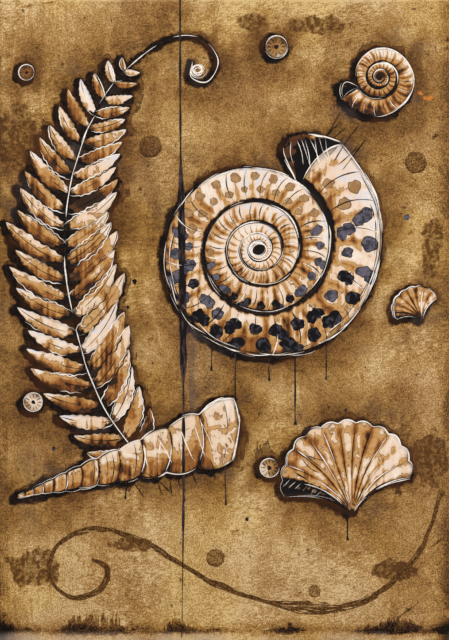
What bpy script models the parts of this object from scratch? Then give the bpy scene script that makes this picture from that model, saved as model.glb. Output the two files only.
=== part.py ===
"""A painted wooden wall panel: a thin plywood face glued to a mitred cradle, hung by a sawtooth hanger.

Metres, +Z up. X runs to the viewer's right, Y into the wall, and the painted face looks towards -Y.
The origin is the hanging point: the hanger's middle notch, where it sits on the wall's nail.
"""
import math

import bmesh
import bpy
from mathutils import Matrix

# The panel
PANEL_WIDTH = 0.350
PANEL_HEIGHT = 0.500
FACE_THICKNESS = 0.004
FACE_EASING = 0.0005

# The cradle's strips
STRIP_WIDTH = 0.020
STRIP_DEPTH = 0.020
STRIP_EASING = 0.0008
EASING_SEGMENTS = 2

# The glue line or play between neighbouring pieces
JOINT_GAP = 0.0003

# The hanger: a toothed steel strip whose middle stands out from its nailed ends
HANGER_HEIGHT = 0.010
HANGER_THICKNESS = 0.0008
HANGER_RISE = 0.0022
TOOTH_PITCH = 0.003
TOOTH_DEPTH = 0.0018
HALF_PITCHES_TO_END = 15
HALF_PITCHES_RAISED = 9
HALF_PITCHES_SLOPED = 2
HANGER_CORNER = 0.002
HANGER_CORNER_SEGMENTS = 3
RAIL_EDGE_TO_NOTCH = 0.0132

# The hanger's nails
NAIL_SPREAD = 0.0195
SHANK_RADIUS = 0.0008
SHANK_LENGTH = 0.011
NAIL_POINT = 0.002
HEAD_RADIUS = 0.0023
HEAD_HEIGHT = 0.001
NAIL_SIDES = 16
BORE_RADIUS = SHANK_RADIUS + JOINT_GAP

# Depths along Y, from the hanger's raised middle back to the painted face
HANGER_INNER = -HANGER_THICKNESS / 2
CRADLE_BACK = HANGER_INNER - HANGER_RISE - JOINT_GAP
CRADLE_FRONT = CRADLE_BACK - STRIP_DEPTH
FACE_BACK = CRADLE_FRONT - JOINT_GAP
FACE_FRONT = FACE_BACK - FACE_THICKNESS

# Heights along Z
PANEL_TOP = RAIL_EDGE_TO_NOTCH
PANEL_MIDDLE = PANEL_TOP - PANEL_HEIGHT / 2
NAIL_LEVEL = HANGER_HEIGHT / 2 - TOOTH_DEPTH


def clear_scene():
    for thing in list(bpy.data.objects):
        bpy.data.objects.remove(thing, do_unlink=True)


def make_material(name, colour, roughness, metallic=0.0):
    material = bpy.data.materials.new(name)
    material.use_nodes = True
    shader = material.node_tree.nodes["Principled BSDF"]
    shader.inputs["Base Color"].default_value = (*colour, 1.0)
    shader.inputs["Roughness"].default_value = roughness
    shader.inputs["Metallic"].default_value = metallic
    return material


def add_object(name, mesh_edit, material=None):
    """Turns a bmesh into a named object with its faces outwards."""
    bmesh.ops.recalc_face_normals(mesh_edit, faces=mesh_edit.faces)
    mesh = bpy.data.meshes.new(name)
    mesh_edit.to_mesh(mesh)
    mesh_edit.free()
    made = bpy.data.objects.new(name, mesh)
    bpy.context.scene.collection.objects.link(made)
    if material:
        mesh.materials.append(material)
    return made


def shade_round(made, sharp_above=math.radians(35)):
    made.data.shade_smooth()
    made.data.set_sharp_from_angle(angle=sharp_above)


def ease_edges(mesh_edit, edges, width, segments=EASING_SEGMENTS):
    bmesh.ops.bevel(
        mesh_edit,
        geom=edges,
        offset=width,
        offset_type="OFFSET",
        segments=segments,
        profile=0.5,
        affect="EDGES",
        material=-1,
    )


def thicken(mesh_edit, depth):
    """Extrudes every face along +Y, which makes a flat outline a solid."""
    grown = bmesh.ops.extrude_face_region(mesh_edit, geom=list(mesh_edit.faces))
    moved = [item for item in grown["geom"] if isinstance(item, bmesh.types.BMVert)]
    bmesh.ops.translate(mesh_edit, verts=moved, vec=(0, depth, 0))


def face_panel(material):
    mesh_edit = bmesh.new()
    bmesh.ops.create_cube(mesh_edit, size=1.0)
    bmesh.ops.scale(
        mesh_edit,
        vec=(PANEL_WIDTH, FACE_THICKNESS, PANEL_HEIGHT),
        verts=mesh_edit.verts,
    )
    ease_edges(mesh_edit, list(mesh_edit.edges), FACE_EASING)
    made = add_object("face_panel", mesh_edit, material)
    made.location = (0, (FACE_FRONT + FACE_BACK) / 2, PANEL_MIDDLE)
    return made


def cradle_strip(name, outer_length, other_length, turn, material):
    """One strip, drawn along the top edge and turned about the panel's middle to its own side.

    Its ends are cut at 45 degrees, half a joint gap short of the corner's diagonal.
    """
    end_clearance = JOINT_GAP / 2 * math.sqrt(2)
    outer = outer_length / 2 - end_clearance
    inner = outer - STRIP_WIDTH
    top = other_length / 2
    mesh_edit = bmesh.new()
    corners = [(-outer, top), (outer, top), (inner, top - STRIP_WIDTH), (-inner, top - STRIP_WIDTH)]
    outline = [mesh_edit.verts.new((x, 0, z)) for x, z in corners]
    mesh_edit.faces.new(outline)
    thicken(mesh_edit, STRIP_DEPTH)
    long_edges = [
        edge
        for edge in mesh_edit.edges
        if abs(edge.verts[0].co.z - edge.verts[1].co.z) < JOINT_GAP
        and abs(edge.verts[0].co.y - edge.verts[1].co.y) < JOINT_GAP
    ]
    ease_edges(mesh_edit, long_edges, STRIP_EASING)
    made = add_object(name, mesh_edit, material)
    made.rotation_euler = (0, turn, 0)
    made.location = (0, CRADLE_FRONT, PANEL_MIDDLE)
    return made


def bore(target, x, depth):
    """Drills a nail hole along Y from the back of a piece, centred on the hanger's end."""
    reach = depth + HANGER_RISE
    mesh_edit = bmesh.new()
    bmesh.ops.create_cone(
        mesh_edit,
        cap_ends=True,
        segments=NAIL_SIDES,
        radius1=BORE_RADIUS,
        radius2=BORE_RADIUS,
        depth=reach,
        matrix=Matrix.Rotation(math.radians(90), 4, "X"),
    )
    side = "left" if x < 0 else "right"
    cutter = add_object(f"cutter_{target.name}_{side}", mesh_edit)
    cutter.location = (x, CRADLE_BACK + HANGER_RISE - reach / 2, NAIL_LEVEL)
    cutter.hide_render = True
    cutter.display_type = "WIRE"
    cut = target.modifiers.new(f"bore_{side}", "BOOLEAN")
    cut.operation = "DIFFERENCE"
    cut.solver = "EXACT"
    cut.object = cutter


def hanger_outline():
    """The plate's face as a row of quads, a half pitch wide each, with its lower edge toothed.

    Even stations of the toothed middle are notches, whose tops lie at height 0, and odd ones are tips.
    """
    mesh_edit = bmesh.new()
    half_pitch = TOOTH_PITCH / 2
    upper = HANGER_HEIGHT - TOOTH_DEPTH
    columns = []
    for station in range(-HALF_PITCHES_TO_END, HALF_PITCHES_TO_END + 1):
        notched = station % 2 == 0 and abs(station) < HALF_PITCHES_RAISED
        lower = 0.0 if notched else -TOOTH_DEPTH
        x = station * half_pitch
        columns.append((mesh_edit.verts.new((x, 0, lower)), mesh_edit.verts.new((x, 0, upper))))
    for (low_a, high_a), (low_b, high_b) in zip(columns, columns[1:]):
        mesh_edit.faces.new((low_a, low_b, high_b, high_a))
    return mesh_edit


def hanger_rise_at(x):
    """How far the plate stands out from the rail at x: flat ends, short slopes, raised middle."""
    half_pitch = TOOTH_PITCH / 2
    slope_start = (HALF_PITCHES_RAISED + HALF_PITCHES_SLOPED) * half_pitch
    climbed = (slope_start - abs(x)) / (HALF_PITCHES_SLOPED * half_pitch)
    return HANGER_RISE * min(max(climbed, 0.0), 1.0)


def sawtooth_hanger(material):
    mesh_edit = hanger_outline()
    thicken(mesh_edit, HANGER_THICKNESS)
    end = HALF_PITCHES_TO_END * TOOTH_PITCH / 2
    corner_edges = [
        edge
        for edge in mesh_edit.edges
        if all(abs(abs(vert.co.x) - end) < JOINT_GAP for vert in edge.verts)
        and abs(edge.verts[0].co.z - edge.verts[1].co.z) < JOINT_GAP
    ]
    ease_edges(mesh_edit, corner_edges, HANGER_CORNER, HANGER_CORNER_SEGMENTS)
    for vert in mesh_edit.verts:
        vert.co.y += hanger_rise_at(vert.co.x)
    made = add_object("sawtooth_hanger", mesh_edit, material)
    made.location = (0, CRADLE_BACK + JOINT_GAP, 0)
    return made


def hanger_nail(name, x, material):
    """A round wire nail, its profile spun about its own length and its head towards the wall."""
    head_base = 0.0
    profile = [
        (0.0, HEAD_HEIGHT),
        (HEAD_RADIUS * 0.60, HEAD_HEIGHT * 0.86),
        (HEAD_RADIUS * 0.92, HEAD_HEIGHT * 0.48),
        (HEAD_RADIUS, head_base),
        (SHANK_RADIUS, head_base),
        (SHANK_RADIUS, NAIL_POINT - SHANK_LENGTH),
        (0.0, -SHANK_LENGTH),
    ]
    mesh_edit = bmesh.new()
    points = [mesh_edit.verts.new((radius, along, 0)) for radius, along in profile]
    lines = [mesh_edit.edges.new(pair) for pair in zip(points, points[1:])]
    bmesh.ops.spin(
        mesh_edit,
        geom=points + lines,
        cent=(0, 0, 0),
        axis=(0, 1, 0),
        angle=math.radians(360),
        steps=NAIL_SIDES,
        use_merge=True,
    )
    bmesh.ops.remove_doubles(mesh_edit, verts=mesh_edit.verts, dist=0.00001)
    made = add_object(name, mesh_edit, material)
    shade_round(made)
    made.location = (x, CRADLE_BACK + 2 * JOINT_GAP + HANGER_THICKNESS, NAIL_LEVEL)
    return made


def build():
    clear_scene()
    painted = make_material("bronze_painted_plywood", (0.30, 0.17, 0.07), 0.45, 0.3)
    pine = make_material("pine", (0.68, 0.47, 0.27), 0.6)
    steel = make_material("zinc_plated_steel", (0.62, 0.60, 0.55), 0.35, 1.0)
    nail_steel = make_material("nail_steel", (0.50, 0.50, 0.50), 0.4, 1.0)

    face_panel(painted)
    quarter = math.radians(90)
    top_rail = cradle_strip("top_rail", PANEL_WIDTH, PANEL_HEIGHT, 0, pine)
    cradle_strip("bottom_rail", PANEL_WIDTH, PANEL_HEIGHT, 2 * quarter, pine)
    cradle_strip("right_stile", PANEL_HEIGHT, PANEL_WIDTH, quarter, pine)
    cradle_strip("left_stile", PANEL_HEIGHT, PANEL_WIDTH, -quarter, pine)

    hanger = sawtooth_hanger(steel)
    bore_depth = SHANK_LENGTH + JOINT_GAP
    for side, x in (("left", -NAIL_SPREAD), ("right", NAIL_SPREAD)):
        hanger_nail(f"hanger_nail_{side}", x, nail_steel)
        bore(top_rail, x, bore_depth)
        bore(hanger, x, HANGER_THICKNESS)


build()
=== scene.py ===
# %% Load the panel's frame
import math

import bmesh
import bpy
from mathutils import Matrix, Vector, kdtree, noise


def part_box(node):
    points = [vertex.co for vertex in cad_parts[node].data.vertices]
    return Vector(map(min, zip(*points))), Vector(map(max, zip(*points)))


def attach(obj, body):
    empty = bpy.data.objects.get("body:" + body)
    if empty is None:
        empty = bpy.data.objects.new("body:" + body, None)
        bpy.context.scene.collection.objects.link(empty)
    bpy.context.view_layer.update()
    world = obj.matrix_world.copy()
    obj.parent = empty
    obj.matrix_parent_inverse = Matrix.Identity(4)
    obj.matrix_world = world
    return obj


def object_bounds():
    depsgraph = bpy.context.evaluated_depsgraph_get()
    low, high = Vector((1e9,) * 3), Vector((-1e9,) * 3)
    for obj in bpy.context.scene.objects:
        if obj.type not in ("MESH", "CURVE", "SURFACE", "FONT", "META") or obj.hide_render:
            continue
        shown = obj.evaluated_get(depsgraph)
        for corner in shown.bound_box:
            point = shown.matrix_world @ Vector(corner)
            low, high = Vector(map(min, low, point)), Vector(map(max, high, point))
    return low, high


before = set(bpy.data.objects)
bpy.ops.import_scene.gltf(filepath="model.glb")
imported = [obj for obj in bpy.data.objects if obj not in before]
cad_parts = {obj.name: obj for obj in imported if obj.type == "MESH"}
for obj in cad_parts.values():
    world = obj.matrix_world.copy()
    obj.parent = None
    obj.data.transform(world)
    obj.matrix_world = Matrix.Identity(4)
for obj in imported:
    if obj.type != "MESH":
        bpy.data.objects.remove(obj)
CAD_LOW, CAD_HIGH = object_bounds()

# %% [markdown]
# # A painted wooden panel
# The object is a plywood panel on a pine cradle, with a hanger behind and a painting on its face.
# The wood and the steel come from the frame as solids. This file adds what a painter adds: a bronze
# ground, washes of cream and burnt orange, blots, and black and white ink. Every film of paint is a
# thin body of its own, so it catches light at its edges, as dried paint does.

MM = 0.001
FACE_LOW, FACE_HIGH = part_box("face_panel")
FACE_Y = FACE_LOW[1]
FACE_LEFT, FACE_BOTTOM = FACE_LOW[0], FACE_LOW[2]
FACE_RIGHT, FACE_TOP = FACE_HIGH[0], FACE_HIGH[2]
FACE_WIDTH = FACE_RIGHT - FACE_LEFT
FACE_HEIGHT = FACE_TOP - FACE_BOTTOM
FACE_BACK = FACE_HIGH[1]
print(f"face {FACE_WIDTH / MM:.0f} x {FACE_HEIGHT / MM:.0f} mm, front at y = {FACE_Y / MM:.1f} mm")


def on_face(across, up):
    """A point of the face, as (x, z), from fractions of its width and height."""
    return Vector((FACE_LEFT + across * FACE_WIDTH, FACE_BOTTOM + up * FACE_HEIGHT))


def clamp(value, low=0.0, high=1.0):
    return min(max(value, low), high)


def ease(value, start, end):
    """0 at start and 1 at end, with a smooth run between. start may be the larger one."""
    share = clamp((value - start) / (end - start))
    return share * share * (3 - 2 * share)


def toward(angle):
    """The unit vector at an angle, counted from the right against the clock."""
    return Vector((math.cos(angle), math.sin(angle)))


# %% [markdown]
# ## Camera and light
# A painting is photographed square on, from far enough that its edges don't bend. The lens is long,
# and the distance follows from the lens, the sensor and the height of panel that has to fill the
# picture. The light is soft and nearly even, with a little more from the upper left, and a third lamp
# lights the back.

# %% Place the camera
IMAGE_WIDTH, IMAGE_HEIGHT = 449, 640
LENS_MM = 100
SENSOR_MM = 36
OVERFILL = 0.9985

seen_height = min(FACE_HEIGHT, FACE_WIDTH * IMAGE_HEIGHT / IMAGE_WIDTH) * OVERFILL
camera_distance = seen_height * LENS_MM / SENSOR_MM
face_centre = on_face(0.5, 0.5)

camera_data = bpy.data.cameras.new("camera")
camera_data.lens = LENS_MM
camera_data.sensor_width = SENSOR_MM
camera = bpy.data.objects.new("camera", camera_data)
camera.location = (face_centre.x, FACE_Y - camera_distance, face_centre.y)
camera.rotation_euler = (math.radians(90), 0, 0)
bpy.context.scene.collection.objects.link(camera)
bpy.context.scene.camera = camera
print(f"camera {camera_distance:.2f} m in front of the face")

# %% Light the panel and lay the floor
scene = bpy.context.scene
scene.view_settings.view_transform = "Standard"
world = bpy.data.worlds.new("studio")
scene.world = world
world.use_nodes = True
world.node_tree.nodes["Background"].inputs["Color"].default_value = (0.96, 0.97, 1.0, 1.0)
world.node_tree.nodes["Background"].inputs["Strength"].default_value = 0.42


def soft_light(name, location, size, power):
    """A square area light that looks at the middle of the face."""
    lamp = bpy.data.lights.new(name, "AREA")
    lamp.size = size
    lamp.energy = power
    lit = bpy.data.objects.new(name, lamp)
    target = Vector((face_centre.x, FACE_Y, face_centre.y))
    lit.location = location
    lit.rotation_euler = (target - lit.location).to_track_quat("-Z", "Y").to_euler()
    scene.collection.objects.link(lit)


soft_light("key_light", Vector((-1.2, -1.5, 1.0)), 0.9, 24)
soft_light("fill_light", Vector((1.4, -1.5, 0.2)), 1.1, 17)
soft_light("back_light", Vector((0.9, 1.6, 1.0)), 1.0, 24)

FLOOR_DROP = 0.2 * MM
FLOOR_SIZE = 30.0


def pale_floor():
    mesh_edit = bmesh.new()
    bmesh.ops.create_grid(mesh_edit, x_segments=1, y_segments=1, size=FLOOR_SIZE / 2)
    bmesh.ops.translate(mesh_edit, verts=mesh_edit.verts, vec=(0, 0, CAD_LOW[2] - FLOOR_DROP))
    mesh = bpy.data.meshes.new("floor")
    mesh_edit.to_mesh(mesh)
    mesh_edit.free()
    floor = bpy.data.objects.new("floor", mesh)
    scene.collection.objects.link(floor)
    paint = bpy.data.materials.new("floor_paint")
    paint.use_nodes = True
    shader = paint.node_tree.nodes["Principled BSDF"]
    shader.inputs["Base Color"].default_value = (0.80, 0.79, 0.77, 1.0)
    shader.inputs["Roughness"].default_value = 0.7
    mesh.materials.append(paint)


pale_floor()

# %% [markdown]
# ## Paths
# Everything drawn on the panel starts as a path: a list of points on the face. A smooth path runs
# through a few given knots. From a path come strokes, outlines and the dark haze round them.

# %% Helpers for paths
PATH_SPACING = 1.6 * MM
SHORTEST_TOUCH = 4
NUMBER_STEP = 50 * MM


def even_path(points, spacing=PATH_SPACING):
    """The same route with its points an even distance apart."""
    marks = [0.0]
    for a, b in zip(points, points[1:]):
        marks.append(marks[-1] + (b - a).length)
    count = max(2, round(marks[-1] / spacing))
    found, span = [], 0
    for step in range(count + 1):
        reach = marks[-1] * step / count
        while span < len(points) - 2 and marks[span + 1] < reach:
            span += 1
        share = (reach - marks[span]) / max(marks[span + 1] - marks[span], 1e-9)
        found.append(points[span].lerp(points[span + 1], clamp(share)))
    return found


def smooth_path(knots, spacing=PATH_SPACING, steps=12):
    """A Catmull-Rom curve through the knots."""
    padded = [2 * knots[0] - knots[1], *knots, 2 * knots[-1] - knots[-2]]
    points = []
    for a, b, c, d in zip(padded, padded[1:], padded[2:], padded[3:]):
        bend = 2 * a - 5 * b + 4 * c - d
        twist = 3 * b - a - 3 * c + d
        for step in range(steps):
            t = step / steps
            points.append(0.5 * (2 * b + (c - a) * t + bend * t**2 + twist * t**3))
    return even_path([*points, knots[-1]], spacing)


def drawn(point_at, steps):
    """The even path of a formula that gives the point at each share of the way, from 0 to 1."""
    return even_path([point_at(step / steps) for step in range(steps + 1)])


def sides(path):
    """The unit vector to the left of the path at each of its points."""
    found = []
    for index in range(len(path)):
        ahead = path[min(index + 1, len(path) - 1)] - path[max(index - 1, 0)]
        found.append(Vector((-ahead.y, ahead.x)).normalized() if ahead.length > 0 else Vector((0, 1)))
    return found


def wobble(distance, wave, seed):
    """Smooth noise along a path, from about -1 to 1."""
    return 1.6 * noise.noise(Vector((distance / wave, seed * 7.31, 3.7 + seed)))


def differing(number, wave, seed):
    """A wobble for numbered things, as if they lay in a row, a step apart."""
    return wobble(number * NUMBER_STEP, wave, seed)


def swayed(path, reach, wave, seed):
    """The path as an unsteady hand repeats it."""
    return [
        point + side * reach * wobble(index * PATH_SPACING, wave, seed)
        for index, (point, side) in enumerate(zip(path, sides(path)))
    ]


def broken(path, share, wave, seed):
    """The stretches of a path where the pen touches, about this share of it."""
    runs, run = [], []
    for index, point in enumerate(path):
        touches = wobble(index * PATH_SPACING, wave, seed + 11) < (share - 0.5) * 1.5
        if touches:
            run.append(point)
        elif run:
            runs.append(run)
            run = []
    if run:
        runs.append(run)
    return [run for run in runs if len(run) >= SHORTEST_TOUCH]


# %% [markdown]
# ## Films of paint
# A film starts as a grid, because bmesh gives a grid its UV map for free: U runs across the stroke
# and V along it. Each of its vertices is then laid where it belongs on the face. One extrusion for
# all the films of a piece gives them their thickness and sinks their backs into the ground.
#
# Films that lie over each other stand at different heights, in the order in which they were painted.

# %% Helpers for films
GROUND_PROUD = 0.30 * MM
FERN_WASH_PROUD = 0.40 * MM
FERN_BLACK_PROUD = 0.45 * MM
FERN_WHITE_PROUD = 0.50 * MM
WASH_PROUD = 0.56 * MM
BLOT_PROUD = 0.61 * MM
RUN_PROUD = 0.67 * MM
BLACK_PROUD = 0.71 * MM
WHITE_PROUD = 0.77 * MM
FILM_SINK = 0.08 * MM
FILM_CROWN = 0.04 * MM
MASKS = ("warm", "dark", "rim")


def lift(point, proud):
    """A point of the face in space, standing this far proud of the bare wood."""
    return Vector((point.x, FACE_Y - proud, point.y))


def new_films():
    """An empty bmesh with a UV map and the masks that the paint's materials read."""
    mesh_edit = bmesh.new()
    mesh_edit.loops.layers.uv.new("UVMap")
    for mask in MASKS:
        mesh_edit.verts.layers.float.new(mask)
    return mesh_edit


def spread(point_at, steps, steps_across):
    """Rows of points for a film, from a formula of two shares: along the film and across it."""
    return [
        [point_at(i / steps, j / steps_across) for j in range(steps_across + 1)]
        for i in range(steps + 1)
    ]


def lay_film(mesh_edit, rows, proud, masks=None):
    """Lays one film. rows[i][j] is a point of the face, and masks(i, j) gives its mask values."""
    made = bmesh.ops.create_grid(
        mesh_edit,
        x_segments=len(rows[0]) - 1,
        y_segments=len(rows) - 1,
        size=0.5,
        calc_uvs=True,
    )
    layers = [mesh_edit.verts.layers.float[mask] for mask in MASKS]
    verts = iter(made["verts"])
    for i, row in enumerate(rows):
        for j, point in enumerate(row):
            vert = next(verts)
            crown = math.sin(math.pi * j / (len(row) - 1))
            vert.co = lift(point, proud + crown * FILM_CROWN)
            for layer, value in zip(layers, masks(i, j) if masks else ()):
                vert[layer] = value


def stroke(mesh_edit, path, half_widths, proud):
    """Lays a film three vertices wide along a path."""
    rows = [
        [point - side * half, point, point + side * half]
        for point, side, half in zip(path, sides(path), half_widths)
    ]
    lay_film(mesh_edit, rows, proud)


def thicken(mesh_edit, proud):
    """Extrudes the films of a piece back into the ground, which closes each of them."""
    grown = bmesh.ops.extrude_face_region(mesh_edit, geom=list(mesh_edit.faces))
    moved = [item for item in grown["geom"] if isinstance(item, bmesh.types.BMVert)]
    bmesh.ops.translate(mesh_edit, verts=moved, vec=(0, proud - GROUND_PROUD + FILM_SINK, 0))
    bmesh.ops.recalc_face_normals(mesh_edit, faces=mesh_edit.faces)


def finish_piece(name, mesh_edit, material):
    """Turns a bmesh into a piece that rides on the panel, and prints its size."""
    mesh = bpy.data.meshes.new(name)
    mesh_edit.to_mesh(mesh)
    mesh_edit.free()
    mesh.materials.append(material)
    mesh.shade_smooth()
    mesh.set_sharp_from_angle(angle=math.radians(40))
    piece = bpy.data.objects.new(name, mesh)
    scene.collection.objects.link(piece)
    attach(piece, "root")
    mesh.calc_loop_triangles()
    print(f"{name}: {len(mesh.loop_triangles)} triangles")


def films_piece(name, proud, material, slot, lay, *described):
    """A piece made of films. lay(films, *described) lays them."""
    films = new_films()
    lay(films, *described)
    thicken(films, proud)
    finish_piece(name, films, material)


# %% [markdown]
# ## Materials
# Paint on a panel is never one colour. Each recipe below starts from the place on the object, lays
# several sizes of noise over it, and turns the sum into colour, gloss and a little relief. A small
# class keeps each node to one line.

# %% A class for material recipes
class Recipe:
    """A material's node tree, with one short method for each kind of node."""

    def __init__(self, name):
        self.material = bpy.data.materials.new(name)
        self.material.use_nodes = True
        self.tree = self.material.node_tree
        self.shader = self.tree.nodes["Principled BSDF"]

    def feed(self, socket, value):
        if isinstance(value, bpy.types.NodeSocket):
            self.tree.links.new(value, socket)
        elif isinstance(value, tuple) and len(value) == 3 and socket.type == "RGBA":
            socket.default_value = (*value, 1.0)
        else:
            socket.default_value = value

    def node(self, kind, settings=None, **sockets):
        made = self.tree.nodes.new("ShaderNode" + kind)
        for name, value in (settings or {}).items():
            setattr(made, name, value)
        for name, value in sockets.items():
            self.feed(made.inputs[name.replace("_", " ")], value)
        return made

    def place(self):
        return self.node("TexCoord").outputs["Object"]

    def mask(self, name):
        return self.node("Attribute", {"attribute_name": name}).outputs["Fac"]

    def part(self, vector, axis):
        return self.node("SeparateXYZ", Vector=vector).outputs[axis]

    def turned(self, vector, degrees):
        """The same place, turned in the plane of the face."""
        settings = {"rotation_type": "Y_AXIS"}
        return self.node("VectorRotate", settings, Vector=vector, Angle=math.radians(degrees)).outputs[0]

    def calc(self, operation, *values):
        made = self.node("Math", {"operation": operation})
        for socket, value in zip(made.inputs, values):
            self.feed(socket, value)
        return made.outputs[0]

    def times(self, first, second):
        return self.calc("MULTIPLY", first, second)

    def plus(self, first, second):
        return self.calc("ADD", first, second)

    def minus(self, first, second):
        return self.calc("SUBTRACT", first, second)

    def most(self, first, second):
        return self.calc("MAXIMUM", first, second)

    def gap(self, first, second):
        """How far apart two values are."""
        return self.calc("ABSOLUTE", self.minus(first, second))

    def shift(self, base, mask, amount):
        """Adds amount to base where the mask is 1, and less where the mask is less."""
        return self.calc("MULTIPLY_ADD", mask, amount, base)

    def swing(self, base, texture, amount):
        """Adds a texture's swing round its middle, times amount, to base."""
        return self.shift(base, self.minus(texture, 0.5), amount)

    def stir(self, base, *swings):
        """Adds several textures' swings, each given with its amount."""
        for texture, amount in swings:
            base = self.swing(base, texture, amount)
        return base

    def between(self, value, low, high, to_low=0.0, to_high=1.0):
        """A smooth step from to_low at low to to_high at high."""
        made = self.node("MapRange", {"interpolation_type": "SMOOTHSTEP"}, Value=value)
        for socket, amount in zip(list(made.inputs)[1:5], (low, high, to_low, to_high)):
            self.feed(socket, amount)
        return made.outputs[0]

    def thread(self, texture, half_width):
        """1 on the lines where a texture passes its middle. A wide noise gives long thin scratches."""
        return self.between(self.gap(texture, 0.5), half_width, 0.3 * half_width)

    def noise(self, where, size, stretch=(1, 1, 1), detail=2.0, distortion=0.0):
        """Noise whose grains are about size across, longer along an axis by that axis's stretch."""
        scale = tuple(1.0 / (size * share) for share in stretch)
        mapped = self.node("Mapping", Vector=where, Scale=scale).outputs[0]
        made = self.node("TexNoise", Vector=mapped, Scale=1.0, Detail=detail, Distortion=distortion)
        return made.outputs["Fac"]

    def mix(self, factor, first, second, blend="MIX"):
        made = self.node("Mix", {"data_type": "RGBA", "blend_type": blend})
        for socket, value in zip((made.inputs[0], made.inputs[6], made.inputs[7]), (factor, first, second)):
            self.feed(socket, value)
        return made.outputs[2]

    def ramp(self, value, stops):
        """Colours at positions from 0 to 1."""
        made = self.node("ValToRGB", Fac=value)
        elements = made.color_ramp.elements
        while len(elements) < len(stops):
            elements.new(0.5)
        for element, (position, colour) in zip(elements, stops):
            element.position = position
            element.color = (*colour, 1.0)
        return made.outputs["Color"]

    def bump(self, height, distance, strength=1.0):
        made = self.node("Bump", Height=height, Distance=distance, Strength=strength)
        self.feed(self.shader.inputs["Normal"], made.outputs[0])

    def finish(self, colour, roughness, metallic=0.0, specular=0.5):
        self.feed(self.shader.inputs["Base Color"], colour)
        self.feed(self.shader.inputs["Roughness"], roughness)
        self.feed(self.shader.inputs["Metallic"], metallic)
        self.shader.inputs["Specular IOR Level"].default_value = specular
        return self.material


# %% [markdown]
# ## The drawing
# The design is a plate of fossils: a great coiled shell with rows of knobs, a fern, a long auger
# shell, a small coil, two scallops and a few stem discs. Each shell is a formula that says where a
# point lies from how far along and how far across it is. The wash, the ink and the blots all ask that
# formula, so they agree.

# %% Coiled shells
TURN = 2 * math.pi
LIGHT = Vector((0.6, 0.8))
RIB_LEAN = 0.035


def mood(point):
    """A slow change from place to place, so that neighbouring washes differ."""
    return 0.20 * noise.noise(Vector((point.x / (45 * MM), point.y / (45 * MM), 8.2)))


class Coil:
    """A shell coiled in the plane of the face. Each whorl is growth times as large as the last one."""

    def __init__(self, centre, radius, growth, mouth_angle, hand, turns, ribs):
        self.centre, self.radius, self.growth = centre, radius, growth
        self.mouth_angle, self.hand, self.turns, self.ribs = mouth_angle, hand, turns, ribs

    def direction(self, turn):
        return toward(self.mouth_angle + self.hand * TURN * turn)

    def point(self, turn, across):
        """turn counts whorls back from the mouth; across goes from the seam, 0, to the back, 1."""
        outer = self.radius * self.growth**-turn
        return self.centre + outer * (across + (1 - across) / self.growth) * self.direction(turn)

    def rib_point(self, turn, across):
        """Ribs lean back as they climb from the seam."""
        return self.point(turn + RIB_LEAN * (across - 0.3) ** 2, across)

    def shade(self, turn, across):
        """How far a point of the rounded whorl turns from the light, from 0 to 1."""
        return 0.5 - 0.5 * (self.direction(turn) * (2 * across - 1)).dot(LIGHT)

    def width(self, turn):
        return self.radius * self.growth**-turn * (1 - 1 / self.growth)

    def depth(self, point):
        """How low a point lies in the shell, from 0 at its top to 1 at its bottom."""
        return clamp(0.5 - 0.5 * (point.y - self.centre.y) / (0.85 * self.radius))


great_coil = Coil(on_face(0.575, 0.610), 0.300 * FACE_WIDTH, 1.74, math.radians(58), -1, 5.0, 24)
small_coil = Coil(on_face(0.845, 0.878), 0.098 * FACE_WIDTH, 1.9, math.radians(205), 1, 3.4, 20)

# %% The wash and the mouth of a coil
COIL_STEPS_PER_RIB = 8
COIL_STEPS_ACROSS = 12
MOUTH_DEPTH = 0.052
MOUTH_STEPS_OUT = 6
MOUTH_STEPS_ACROSS = 12


def coil_film(mesh_edit, coil, warmth):
    """The wash of a coil, one film from the mouth to the middle."""
    steps = round(coil.turns * coil.ribs * COIL_STEPS_PER_RIB)
    rows = spread(lambda share, across: coil.rib_point(coil.turns * share, across), steps, COIL_STEPS_ACROSS)

    def masks(i, j):
        turn, across = coil.turns * i / steps, j / COIL_STEPS_ACROSS
        point = rows[i][j]
        shade = coil.shade(turn, across)
        groove = max(0.0, -math.cos(TURN * turn * coil.ribs)) ** 2
        groove *= ease(across, 0.02, 0.3) * ease(across, 1.0, 0.88)
        seam = ease(across, 0.20, 0.0)
        warm = warmth + 0.62 * (shade - 0.5) + 0.22 * (coil.depth(point) - 0.5)
        warm += 0.34 * groove + 0.34 * seam + mood(point)
        dark = seam + 0.72 * ease(shade, 0.70, 1.0)
        dark += 0.36 * groove * ease(shade, 0.30, 0.70) + 0.05 * turn
        rim = max(ease(across, 0.93, 1.0), ease(across, 0.06, 0.0), ease(turn, 0.01, 0.0))
        return warm, dark, rim

    lay_film(mesh_edit, rows, WASH_PROUD, masks)


def mouth_point(coil, forward, across):
    """A point of the open mouth. forward goes from the last rib, 0, to the lip, 1."""
    bulge = max(math.sin(math.pi * (0.04 + 0.96 * across)), 0.01) ** 0.8
    return coil.rib_point(-MOUTH_DEPTH * forward * bulge, across)


def mouth_film(mesh_edit, coil):
    """The open mouth, ahead of the last rib: black at the rib and brown towards the lip."""
    rows = spread(
        lambda forward, across: mouth_point(coil, forward, across),
        MOUTH_STEPS_OUT,
        MOUTH_STEPS_ACROSS,
    )

    def masks(i, j):
        return 0.9 - 0.25 * ease(j, 7, MOUTH_STEPS_ACROSS), 0.62 + 0.4 * ease(i, 5, 1), 0.0

    lay_film(mesh_edit, rows, WASH_PROUD + FILM_CROWN, masks)


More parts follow.
